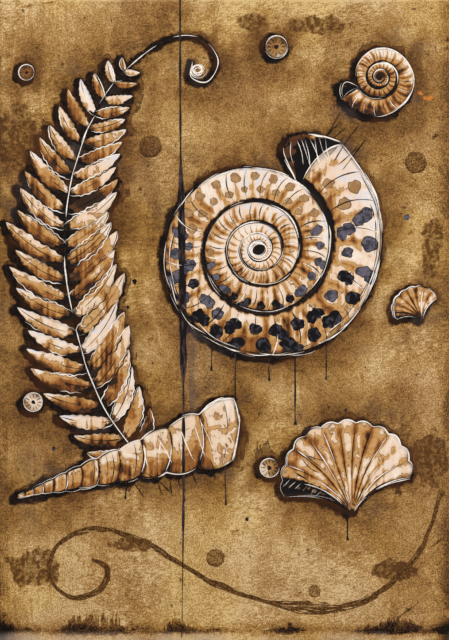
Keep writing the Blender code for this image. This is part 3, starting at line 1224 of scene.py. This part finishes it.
shell_wash = wash_material()
for name, proud, lay, *described in (
    ("fern_wash", FERN_WASH_PROUD, lay_fern),
    ("great_coil_wash", WASH_PROUD, lay_coil, great_coil, 0.29, 1),
    ("small_coil_wash", WASH_PROUD, lay_coil, small_coil, 0.40, 2),
    ("auger_wash", WASH_PROUD, auger_film, auger),
    ("large_scallop_wash", WASH_PROUD, scallop_film, large_scallop),
    ("small_scallop_wash", WASH_PROUD, scallop_film, small_scallop),
    ("stem_disc_wash", WASH_PROUD, lay_stem_discs),
):
    films_piece(name, proud, shell_wash, "wash", lay, *described)

# %% [markdown]
# ## Blots
# Each rib of the great shell ends in knobs, and a knob is a drop of thinned paint: brown near the
# top, slate lower down and black at the foot, where drops have run together. Each drop dried with a
# darker rim. Its mask says which of the three paints it is.

# %% The blots' material and the knobs
BROWN_DROP, SLATE_DROP, BLACK_DROP = 0.0, 0.5, 1.0
KNOB_ROWS = [
    # across the whorl, share of a rib to shift by, radius as a share of the whorl's width, last rib
    (0.74, 0.50, 0.135, 40),
    (0.40, 0.00, 0.115, 26),
]


def blot_material():
    r = Recipe("blots")
    where = r.place()
    paint, rim = r.mask("warm"), r.mask("rim")
    pools = r.noise(where, 4.2 * MM, detail=2, distortion=0.6)
    grain = r.noise(where, 1.2 * MM, detail=1)
    brown = r.mix(r.between(pools, 0.35, 0.65), (0.40, 0.235, 0.105), (0.30, 0.155, 0.060))
    slate = r.mix(r.between(pools, 0.42, 0.58), (0.118, 0.104, 0.128), (0.040, 0.036, 0.046))
    slate = r.mix(r.between(grain, 0.60, 0.75, 0.0, 0.5), slate, (0.22, 0.20, 0.25))
    black = r.mix(r.between(pools, 0.50, 0.64), (0.005, 0.004, 0.005), (0.042, 0.038, 0.048))
    colour = r.mix(r.between(paint, 0.2, 0.3), brown, slate)
    colour = r.mix(r.between(paint, 0.7, 0.8), colour, black)
    edge = r.between(r.swing(rim, grain, 0.25), 0.84, 0.94)
    edge_colour = r.mix(r.between(paint, 0.2, 0.3), (0.105, 0.044, 0.017), (0.007, 0.005, 0.007))
    colour = r.mix(r.times(edge, 0.85), colour, edge_colour)
    r.bump(pools, 0.08 * MM, 0.4)
    return r.finish(colour, r.between(pools, 0.3, 0.7, 0.28, 0.46), specular=0.12)


def knob_paint(depth, seed):
    """Brown, slate or black, darker the lower a knob lies."""
    level = depth + 0.16 * differing(seed, 60 * MM, 3)
    return BROWN_DROP if level < 0.42 else SLATE_DROP if level < 0.70 else BLACK_DROP


def lay_knobs(films, coil):
    """Rows of drops along the ribs. Some of the darker ones ran on into a second drop."""
    seed = 0
    for across, shift, size, last_rib in KNOB_ROWS:
        for number in range(1, last_rib):
            seed += 1
            turn = (number + shift) / coil.ribs
            centre = coil.rib_point(turn, across + 0.05 * differing(seed, 70 * MM, 9))
            depth = coil.depth(centre)
            radius = size * coil.width(turn) * (0.90 + 0.42 * depth + 0.14 * differing(seed, 60 * MM, 1))
            tall = 0.92 + 0.22 * noise.noise(Vector((seed * 1.7, 0.3, 0.9)))
            layer = BLOT_PROUD + (seed % 5) * 0.004 * MM
            paint = knob_paint(depth, seed)
            disc_film(films, centre, radius, tall, layer, seed, 0.34, paint, 0.0)
            if paint != BROWN_DROP and seed % 2 == 0:
                run_on = centre + Vector((0.9 * (-1) ** (seed // 2), -0.65)) * radius
                disc_film(films, run_on, 0.85 * radius, 1.1, layer + 0.02 * MM, seed + 90, 0.4, paint, 0.0)


# across, up, radius and paint of the drops that fell outside the shells
STRAY_DROPS = [
    (0.300, 0.560, 0.0050, BLACK_DROP),
    (0.285, 0.520, 0.0034, BLACK_DROP),
    (0.905, 0.660, 0.0060, SLATE_DROP),
    (0.470, 0.260, 0.0060, BLACK_DROP),
    (0.550, 0.190, 0.0036, BLACK_DROP),
    (0.690, 0.285, 0.0050, BROWN_DROP),
    (0.755, 0.775, 0.0040, BLACK_DROP),
    (0.120, 0.300, 0.0040, BLACK_DROP),
    (0.770, 0.360, 0.0034, BLACK_DROP),
]


def lay_blots(films):
    lay_knobs(films, great_coil)
    for seed, (across, up, radius, paint) in enumerate(STRAY_DROPS):
        centre, radius = on_face(across, up), radius * FACE_WIDTH
        disc_film(films, centre, radius, 1.15, BLOT_PROUD, seed + 60, 0.4, paint, 0.0)


films_piece("blots", BLOT_PROUD, blot_material(), "wash", lay_blots)

# %% [markdown]
# ## Runs and dry brush
# One dark run goes from top to bottom, thin at first and wide where it crossed the wet shell. Thinner
# runs hang from the shells, and an orange drop sits at the right edge. A long brown line was drawn
# with a nearly dry brush. It is made as a brush makes it: many bristles side by side, each of which
# leaves the surface now and then.

# %% Runs
RUN_HEIGHTS = (0.999, 0.8, 0.6, 0.4, 0.2, 0.006)
RUN_TOP_WIDTH = 0.9 * MM
RUN_THINNEST = 0.35 * MM
RUN_WIDE = 5.2 * MM
RUN_WIDE_FROM, RUN_WIDE_TO = 0.735, 0.425

# degrees round the great coil where a run starts, its length and its width in mm
COIL_RUNS = [
    (-52, 34, 0.9),
    (-70, 58, 1.2),
    (-84, 21, 0.8),
    (-103, 47, 1.0),
    (-118, 26, 0.8),
    (-141, 17, 0.7),
]
# share of the large scallop's fan, length and width in mm
SCALLOP_RUNS = [(0.35, 30, 1.0), (0.30, 15, 0.8)]
# whorl of the auger, length and width in mm
AUGER_RUNS = [(8.4, 14, 0.8), (10.6, 23, 0.8), (11.8, 32, 0.8)]


def dark_run(films):
    """The long run: thin at the top, wide where it crossed the wet shell, and pooled below it."""
    path = smooth_path([on_face(RUN_ACROSS + 0.004 * math.sin(5 * up), up) for up in RUN_HEIGHTS])
    half_widths = []
    for index, point in enumerate(path):
        along = index * PATH_SPACING
        up = (point.y - FACE_BOTTOM) / FACE_HEIGHT
        swell = ease(up, RUN_WIDE_FROM + 0.02, RUN_WIDE_FROM - 0.05)
        swell *= ease(up, RUN_WIDE_TO - 0.03, RUN_WIDE_TO + 0.02)
        pooled = ease(up, 0.40, 0.32) * ease(up, 0.10, 0.20)
        width = RUN_TOP_WIDTH * (1 + 0.5 * wobble(along, 16 * MM, 2))
        width *= 1.25 - 0.7 * ease(up, 0.4, 0.1) + 1.1 * pooled
        width += swell * (RUN_WIDE - RUN_TOP_WIDTH) * (1 + 0.22 * wobble(along, 10 * MM, 6))
        half_widths.append(0.5 * max(width, RUN_THINNEST))
    stroke(films, path, half_widths, RUN_PROUD)


def hanging_run(films, start, length, width, seed):
    """A thin run down from a wet edge, with a drop at its end. Its length and width are in mm."""
    path = even_path([start, start - Vector((0, length * MM))])
    path = swayed(path, 0.35 * MM, 20 * MM, seed)
    count = len(path) - 1
    half_widths = []
    for index in range(count + 1):
        swell = 0.8 + 0.3 * wobble(index * PATH_SPACING, 10 * MM, seed)
        swell += 1.1 * ease(index, count - 2.5, count - 0.8)
        half_widths.append(0.5 * width * MM * swell)
    stroke(films, path, half_widths, RUN_PROUD)


def lay_runs(films):
    dark_run(films)
    for seed, (degrees, length, width) in enumerate(COIL_RUNS, 1):
        turn = (degrees - math.degrees(great_coil.mouth_angle)) / (great_coil.hand * 360)
        hanging_run(films, great_coil.point(turn, 0.93), length, width, seed)
    for seed, (share, length, width) in enumerate(SCALLOP_RUNS, 20):
        hanging_run(films, large_scallop.point(share, 0.15), length, width, seed)
    for seed, (whorl, length, width) in enumerate(AUGER_RUNS, 30):
        hanging_run(films, auger.point(whorl, 0.02), length, width, seed)


def run_paint():
    r = Recipe("run_paint")
    ragged = r.noise(r.place(), 2.2 * MM, (1, 1, 5), detail=2)
    colour = r.mix(r.between(ragged, 0.45, 0.68), (0.007, 0.005, 0.006), (0.060, 0.038, 0.036))
    return r.finish(colour, 0.42, specular=0.10)


films_piece("dark_runs", RUN_PROUD, run_paint(), "ink", lay_runs)

# %% The orange drop
def lay_orange_drop(films):
    disc_film(films, on_face(0.955, 0.845), 0.0125 * FACE_WIDTH, 0.62, BLOT_PROUD, 4, 0.6, 0.0, 0.0)
    disc_film(films, on_face(0.935, 0.853), 0.0075 * FACE_WIDTH, 0.8, BLOT_PROUD, 9, 0.6, 0.0, 0.0)


def orange_paint():
    r = Recipe("orange_drop")
    pools = r.noise(r.place(), 3 * MM, detail=2)
    edge = r.between(r.mask("rim"), 0.75, 0.95)
    colour = r.mix(r.between(pools, 0.4, 0.6), (0.52, 0.185, 0.030), (0.34, 0.115, 0.022))
    colour = r.mix(r.times(edge, 0.7), colour, (0.15, 0.055, 0.016))
    return r.finish(colour, 0.4, specular=0.12)


films_piece("orange_drop", BLOT_PROUD, orange_paint(), "wash", lay_orange_drop)

# %% The dry brush line
BRUSH_KNOTS = [
    (0.985, 0.235), (0.925, 0.130), (0.800, 0.060), (0.640, 0.055), (0.480, 0.090),
    (0.330, 0.150), (0.215, 0.175), (0.130, 0.150), (0.112, 0.100), (0.160, 0.068),
    (0.222, 0.080), (0.240, 0.112), (0.205, 0.128),
]
BRISTLES = 19
BRISTLE_WIDTH = 0.58 * MM
BRUSH_THIN, BRUSH_WIDE = 2.4 * MM, 13.5 * MM


def bristle_mark(films, path, bristle):
    """One touch of a bristle, uneven, and thin at both ends."""
    count = len(path) - 1
    half_widths = []
    for index in range(count + 1):
        swell = 1.25 + 0.5 * wobble(index * PATH_SPACING, 6 * MM, bristle + 70)
        taper = min(1, 0.3 + 0.35 * index, 0.3 + 0.35 * (count - index))
        half_widths.append(0.5 * BRISTLE_WIDTH * swell * taper)
    stroke(films, path, half_widths, FERN_WASH_PROUD)


def dry_brush(films, path):
    """Each bristle runs beside the path, spread by the pressure on the brush, and skips as it dries."""
    left = sides(path)
    pressure = [clamp(0.46 + 0.85 * wobble(i * PATH_SPACING, 60 * MM, 3.3)) for i in range(len(path))]
    for bristle in range(BRISTLES):
        seat = 2 * bristle / (BRISTLES - 1) - 1
        track = []
        for i, (point, side) in enumerate(zip(path, left)):
            half = 0.5 * (BRUSH_THIN + (BRUSH_WIDE - BRUSH_THIN) * pressure[i] ** 2)
            shake = 0.22 * MM * wobble(i * PATH_SPACING, 7 * MM, bristle)
            track.append(point + side * (seat * half + shake))
        for run in broken(track, 0.90 - 0.34 * abs(seat), 9 * MM, bristle * 2.7 + 50):
            bristle_mark(films, run, bristle)


def umber_paint():
    r = Recipe("umber_paint")
    thin = r.noise(r.place(), 2.8 * MM, detail=2)
    colour = r.mix(r.between(thin, 0.42, 0.64), (0.048, 0.017, 0.004), (0.115, 0.045, 0.011))
    gaps = r.between(r.noise(r.place(), 1.1 * MM, detail=1), 0.55, 0.64, 0.0, 0.75)
    colour = r.mix(gaps, colour, (0.255, 0.140, 0.036))
    return r.finish(colour, 0.6, specular=0.08)


brush_path = smooth_path([on_face(*knot) for knot in BRUSH_KNOTS])
films_piece("dry_brush_line", FERN_WASH_PROUD, umber_paint(), "wash", dry_brush, brush_path)

# %% [markdown]
# ## Ink
# Loose lines of black and white ink go round and over the washes. A hand never repeats a line: each
# pass sways off the outline, swells and thins, and skips where the pen ran dry. Black lines are
# heavier on the side away from the light, and white ones on the side that faces it.

# %% The pens
INK_SWELL = 12 * MM
FAVOUR = 0.55
LIT_SIDE, SHADE_SIDE = 1, -1
BLACK_INK = {"colour": (0.004, 0.003, 0.003), "worn": (0.04, 0.022, 0.012), "roughness": 0.40, "slot": "ink"}
WHITE_INK = {"colour": (0.86, 0.78, 0.70), "worn": (0.60, 0.48, 0.38), "roughness": 0.55, "slot": "white_ink"}


class Pen:
    """A pen and what it has drawn. It presses harder on the side of a shell that it favours."""

    def __init__(self, width, proud, sway, favours):
        self.films = new_films()
        self.width, self.proud, self.sway, self.favours = width, proud, sway, favours
        self.lines = 0

    def line(self, path, width=1.0, middle=None):
        """One touch of the pen along a path, width times as wide as usual."""
        self.lines += 1
        count = len(path) - 1
        half_widths = []
        for index, point in enumerate(path):
            ends = ease(index, -1, 4) * ease(count - index, -1, 4)
            swell = 0.75 + 0.45 * wobble(index * PATH_SPACING, INK_SWELL, self.lines + 23)
            swell = clamp(swell, 0.35, 1.6)
            if middle:
                swell *= 1 + FAVOUR * self.favours * (point - middle).normalized().dot(LIGHT)
            half_widths.append(0.5 * self.width * width * swell * max(ends, 0.15))
        stroke(self.films, path, half_widths, self.proud)

    def trace(self, paths, width=1.0, passes=1, share=0.8, sway=1.0, middle=None):
        """Draws along each path several times, loosely."""
        for path in paths:
            for _ in range(passes):
                self.lines += 1
                hand = swayed(path, self.sway * sway, 30 * MM, self.lines * 1.7)
                for run in broken(hand, share, 25 * MM, self.lines * 2.3):
                    self.line(run, width, middle)

    def hatch(self, start, along, reach, count, width=0.7):
        """Quick strokes side by side: each starts a step along and goes reach far, all a little off."""
        start, along, reach = on_face(*start), Vector(along) * FACE_WIDTH, Vector(reach) * FACE_WIDTH
        for number in range(count):
            off = [noise.noise(Vector((number * 1.37, self.lines * 0.71, k * 5.3))) for k in range(4)]
            begin = start + along * (number + 0.6 * off[0]) / count
            end = begin + reach * (1 + 0.45 * off[1]) + along * 0.25 * off[2]
            bow = Vector((-reach.y, reach.x)) * 0.16 * off[3]
            self.line(smooth_path([begin, begin.lerp(end, 0.5) + bow, end], 1.2 * MM), width)

    def scribble(self, centre, radius, loops, width=0.8):
        """A few turns round the same place, none on top of another."""
        steps = loops * 22
        path = []
        for step in range(steps + 1):
            angle = TURN * loops * step / steps
            reach = radius * (0.66 + 0.80 * noise.noise(Vector((angle * 0.23, self.lines * 0.9, 2.2))))
            path.append(centre + reach * Vector((math.cos(angle), 0.9 * math.sin(angle))))
        self.line(path, width)

    def finish(self, name, colour, worn, roughness, slot):
        """Makes the piece. worn is the ink's colour where it is thin."""
        thicken(self.films, self.proud)
        r = Recipe(name)
        wear = r.noise(r.place(), 1.6 * MM, detail=2)
        ink = r.mix(r.between(wear, 0.54, 0.68), colour, worn)
        material = r.finish(ink, r.between(wear, 0.3, 0.7, roughness, roughness + 0.2), specular=0.10)
        finish_piece(name, self.films, material)


# %% Lines inside the shells
DISC_RAYS = 12

# whorls from the mouth where a sweep starts and stops, and how far across the whorl it runs
SWEEPS = [
    (0.06, 0.22, 0.94),
    (0.10, 0.30, 0.89),
    (0.30, 0.46, 1.02),
    (0.33, 0.52, 0.92),
    (0.44, 0.62, 0.95),
    (0.55, 0.70, 0.88),
]


def coil_ribs(coil, low, high, whorls, skip=1):
    """The ribs of a coil, as paths from near the seam to near the back."""
    paths = []
    for number in range(1, int(coil.ribs * whorls), skip):
        turn = number / coil.ribs
        if coil.width(turn) * (high - low) > 5 * MM:
            paths.append(drawn(lambda share: coil.rib_point(turn, low + (high - low) * share), 10))
    return paths


def coil_sweep(start, stop, across):
    """A long line that follows the great coil's whorls."""
    return drawn(lambda share: great_coil.point(start + (stop - start) * share, across), 30)


def auger_cord(whorl, margin):
    """A line across the auger, from side to side but for a margin."""
    return drawn(lambda share: auger.point(whorl, margin + (1 - 2 * margin) * share), 16)


def scallop_rib(shell, rib):
    return drawn(lambda share: shell.point(rib / shell.ribs, 0.14 + 0.82 * share), 12)


def disc_ray(centre, radius, ray):
    angle = TURN * ray / DISC_RAYS
    return even_path([centre + radius * out * toward(angle) for out in (0.40, 0.92)], 0.6 * MM)


scallops = (large_scallop, small_scallop)
coil_sweeps = [coil_sweep(*sweep) for sweep in SWEEPS]
auger_seams = [auger_cord(whorl, 0.02) for whorl in range(2, auger.whorls)]
auger_cords = [auger_cord(whorl + share, 0.04) for whorl in range(5, auger.whorls) for share in (0.38, 0.68)]
scallop_ribs = [scallop_rib(shell, rib) for shell in scallops for rib in range(1, shell.ribs)]
leaf_ribs = [even_path(rib) for rib, half_widths in fern_leaflets]
disc_rays = [disc_ray(*disc, ray) for disc in stem_discs for ray in range(DISC_RAYS)]
auger_middle = auger.tip.lerp(auger.mouth, 0.5)

# %% Draw the fern, then the shells over it
fern_black = Pen(1.05 * MM, FERN_BLACK_PROUD, 0.6 * MM, SHADE_SIDE)
fern_black.trace([fern_stem], width=1.7, passes=2, share=0.95)
fern_black.trace(leaf_paths, share=0.72)
fern_black.trace(leaf_ribs, width=0.7, share=0.7, sway=0.5)
fern_black.finish("fern_black_lines", **BLACK_INK)

fern_white = Pen(1.05 * MM, FERN_WHITE_PROUD, 1.0 * MM, LIT_SIDE)
fern_white.trace([fern_stem], width=0.85, passes=2, share=0.50)
fern_white.trace(leaf_paths, width=0.78, share=0.40)
fern_white.scribble(on_face(0.440, 0.890), 6.5 * MM, 5)
fern_white.finish("fern_white_lines", **WHITE_INK)

black = Pen(1.25 * MM, BLACK_PROUD, 0.8 * MM, SHADE_SIDE)
for coil in (great_coil, small_coil):
    black.trace(coil_outlines(coil), width=1.15, passes=2, share=0.82, middle=coil.centre)
black.trace(coil_ribs(great_coil, 0.10, 0.95, 2.6), width=0.8, share=0.74, sway=0.7)
black.trace(coil_ribs(small_coil, 0.16, 0.92, 1.3), width=0.6, share=0.8, sway=0.5)
black.trace(coil_sweeps, width=0.5, passes=2, share=0.75, sway=2.2)
black.trace(auger_paths, passes=2, share=0.78, middle=auger_middle)
black.trace(auger_seams, width=1.0, share=0.92)
black.trace(auger_cords, width=0.5, share=0.5, sway=0.5)
for shell in scallops:
    black.trace(scallop_outlines(shell), passes=2, share=0.82, middle=shell.middle())
black.trace(scallop_ribs, width=0.7, share=0.74, sway=0.6)
black.trace(disc_paths, width=0.8, passes=2, share=0.85, sway=0.5)
black.trace(disc_rays, width=0.8, share=1.0, sway=0.2)
black.hatch((0.700, 0.770), (0.070, -0.060), (0.050, 0.060), 7)
black.hatch((0.270, 0.255), (0.22, 0.045), (0.020, -0.050), 9)
black.hatch((0.660, 0.215), (0.080, 0.110), (-0.045, 0.030), 7)
black.finish("black_ink_lines", **BLACK_INK)

white = Pen(1.20 * MM, WHITE_PROUD, 1.3 * MM, LIT_SIDE)
for coil in (great_coil, small_coil):
    white.trace(coil_outlines(coil), width=0.60, passes=3, share=0.44, middle=coil.centre)
white.trace(coil_ribs(great_coil, 0.22, 0.97, 2.4, 2), width=0.8, share=0.5, sway=0.8)
white.trace(coil_ribs(small_coil, 0.2, 0.95, 1.2), width=0.6, share=0.5, sway=0.4)
white.trace(coil_sweeps, width=0.55, share=0.7, sway=2.2)
white.trace(auger_paths, width=0.60, passes=3, share=0.44, middle=auger_middle)
white.trace(auger_seams, width=0.8, share=0.55)
for shell in scallops:
    white.trace(scallop_outlines(shell), width=0.60, passes=3, share=0.44, middle=shell.middle())
white.trace(scallop_ribs, width=0.7, share=0.42, sway=0.7)
white.trace(disc_paths, width=0.5, passes=2, share=0.55, sway=0.6)
white.hatch((0.330, 0.270), (0.18, 0.035), (-0.012, 0.065), 7)
white.hatch((0.648, 0.778), (0.085, 0.010), (0.016, -0.062), 8, 0.45)
white.hatch((0.645, 0.2515), (0.080, -0.030), (-0.010, -0.014), 6, 0.40)
white.scribble(great_coil.centre, 8.0 * MM, 4)
white.finish("white_ink_lines", **WHITE_INK)

# %% [markdown]
# ## Bare wood and steel
# Behind the painting everything is plain. The plywood shows its veneer at the back and its three
# plies at the edges. The pine strips show rings and fibres that run along each strip, a knot here and
# there, and the bronze paint that lapped over the outside. The hanger and its nails are steel.
# These pieces come from the frame, so they only get a material.

# %% Plywood and pine
OUTSIDE_SKIN = 0.4 * MM
PLIES = 3
# the middle of each knot, in metres
KNOTS = [
    (-0.165, -0.0029, -0.150),
    (0.166, -0.0060, -0.330),
    (0.085, -0.0029, 0.004),
    (-0.060, -0.0029, -0.478),
]
RING_SPACING = 2.6 * MM


def outside_mask(r, where):
    """1 on the panel's outer sides, within a thin skin."""
    out_x = r.gap(r.part(where, "X"), face_centre.x)
    out_z = r.gap(r.part(where, "Z"), face_centre.y)
    skin_x = r.between(out_x, FACE_WIDTH / 2 - OUTSIDE_SKIN, FACE_WIDTH / 2 - 0.5 * OUTSIDE_SKIN)
    skin_z = r.between(out_z, FACE_HEIGHT / 2 - OUTSIDE_SKIN, FACE_HEIGHT / 2 - 0.5 * OUTSIDE_SKIN)
    return r.most(skin_x, skin_z)


def lapped_paint(r, where, colour, reach):
    """The bronze that ran over the outside, as far back as reach from the plywood's back."""
    broad, fine = r.noise(where, 12 * MM, detail=3), r.noise(where, 2.5 * MM, detail=1)
    ragged = r.stir(r.part(where, "Y"), (broad, 16 * MM), (fine, 3 * MM))
    painted = r.between(ragged, FACE_BACK + reach, FACE_BACK + reach - 0.8 * MM)
    speckle, mottle = r.noise(where, 1.3 * MM, detail=1), r.noise(where, 9 * MM, detail=3)
    tone = r.stir(0.52, (speckle, 0.9), (mottle, 0.7))
    return r.mix(r.times(outside_mask(r, where), painted), colour, r.ramp(tone, BRONZE_TONES))


def plywood():
    r = Recipe("birch_plywood")
    where = r.place()
    fibres = r.noise(where, 1.3 * MM, (1, 1, 40), detail=2)
    figure = r.noise(where, 30 * MM, (1, 1, 6), detail=2, distortion=0.8)
    arches = r.calc("SINE", r.times(figure, 95))
    veneer = r.mix(r.between(arches, 0.2, 1.0, 0.0, 0.5), (0.64, 0.46, 0.28), (0.50, 0.32, 0.165))
    veneer = r.mix(r.between(fibres, 0.52, 0.72, 0.0, 0.55), veneer, (0.38, 0.22, 0.105))
    ply = r.times(r.minus(r.part(where, "Y"), FACE_Y), PLIES / (FACE_BACK - FACE_Y))
    in_core = r.times(r.between(ply, 0.98, 1.04), r.between(ply, 2.02, 1.96))
    end_grain = r.noise(where, 0.7 * MM, (2.5, 1, 2.5), detail=2)
    core = r.mix(r.between(end_grain, 0.35, 0.65), (0.30, 0.165, 0.075), (0.42, 0.25, 0.12))
    edge = r.mix(in_core, (0.52, 0.34, 0.18), core)
    glue = r.between(r.gap(r.gap(ply, PLIES / 2), 0.5), 0.09, 0.04)
    edge = r.mix(r.times(glue, 0.7), edge, (0.11, 0.055, 0.025))
    colour = r.mix(outside_mask(r, where), veneer, edge)
    colour = lapped_paint(r, where, colour, -0.6 * MM)
    r.bump(fibres, 0.08 * MM, 0.4)
    return r.finish(colour, r.between(fibres, 0.3, 0.7, 0.55, 0.72), specular=0.3)


def pine(name, along):
    """Pine for a strip whose grain runs along an axis, X or Z."""
    r = Recipe(name)
    where = r.place()
    stretch = (30, 1, 1) if along == "X" else (1, 1, 30)
    slow = tuple(6.0 if share > 1 else 1.0 for share in stretch)
    across = r.part(where, "Z" if along == "X" else "X")
    fibres = r.noise(where, 1 * MM, stretch, detail=2)
    sway = r.noise(where, 20 * MM, slow, detail=2)
    rings = r.plus(r.times(across, 1 / RING_SPACING), r.times(sway, 7.0))
    rings = r.plus(rings, r.times(r.part(where, "Y"), 0.35 / RING_SPACING))
    knotted = 0.0
    for knot in KNOTS:
        away = r.node("VectorMath", {"operation": "DISTANCE"}, Vector=where)
        away.inputs[1].default_value = knot
        near = r.between(away.outputs["Value"], 16 * MM, 1 * MM)
        rings = r.plus(rings, r.times(near, 2.4))
        knotted = r.most(knotted, r.between(away.outputs["Value"], 5.0 * MM, 4.2 * MM))
    late_wood = r.between(r.calc("FRACT", rings), 0.45, 0.95)
    colour = r.mix(late_wood, (0.72, 0.53, 0.31), (0.52, 0.30, 0.125))
    colour = r.mix(r.between(fibres, 0.50, 0.75, 0.0, 0.45), colour, (0.42, 0.25, 0.115))
    colour = r.mix(r.times(knotted, 0.8), colour, (0.20, 0.085, 0.030))
    soiled = r.between(r.noise(where, 35 * MM, detail=3), 0.55, 0.75, 0.0, 0.22)
    colour = r.mix(soiled, colour, (0.34, 0.22, 0.12))
    colour = lapped_paint(r, where, colour, 4.0 * MM)
    r.bump(r.plus(fibres, r.times(late_wood, 0.5)), 0.12 * MM, 0.5)
    return r.finish(colour, r.between(fibres, 0.3, 0.7, 0.52, 0.70), specular=0.3)


def steel(name, bright, dull, roughness):
    """Thin plating, a little uneven, dull where it was handled."""
    r = Recipe(name)
    where = r.place()
    smears = r.noise(where, 6 * MM, (3, 1, 1), detail=3)
    specks = r.noise(where, 0.9 * MM, detail=2)
    colour = r.mix(r.between(smears, 0.40, 0.65), bright, dull)
    colour = r.mix(r.between(specks, 0.62, 0.72, 0.0, 0.6), colour, (0.16, 0.12, 0.09))
    r.bump(smears, 0.03 * MM, 0.3)
    return r.finish(colour, r.between(smears, 0.3, 0.7, roughness, roughness + 0.18), metallic=1.0)


def dress(node, material):
    """Gives a node of the frame its finish."""
    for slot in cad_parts[node].material_slots:
        slot.material = material
    print(f"{node}: {material.name}")


pine_along_x, pine_along_z = pine("pine_rail", "X"), pine("pine_stile", "Z")
dress("face_panel", plywood())
dress("top_rail", pine_along_x)
dress("bottom_rail", pine_along_x)
dress("left_stile", pine_along_z)
dress("right_stile", pine_along_z)
dress("sawtooth_hanger", steel("worn_plate", (0.66, 0.63, 0.56), (0.42, 0.39, 0.34), 0.28))
nail_steel = steel("worn_nail", (0.56, 0.55, 0.53), (0.30, 0.29, 0.28), 0.34)
dress("hanger_nail_left", nail_steel)
dress("hanger_nail_right", nail_steel)
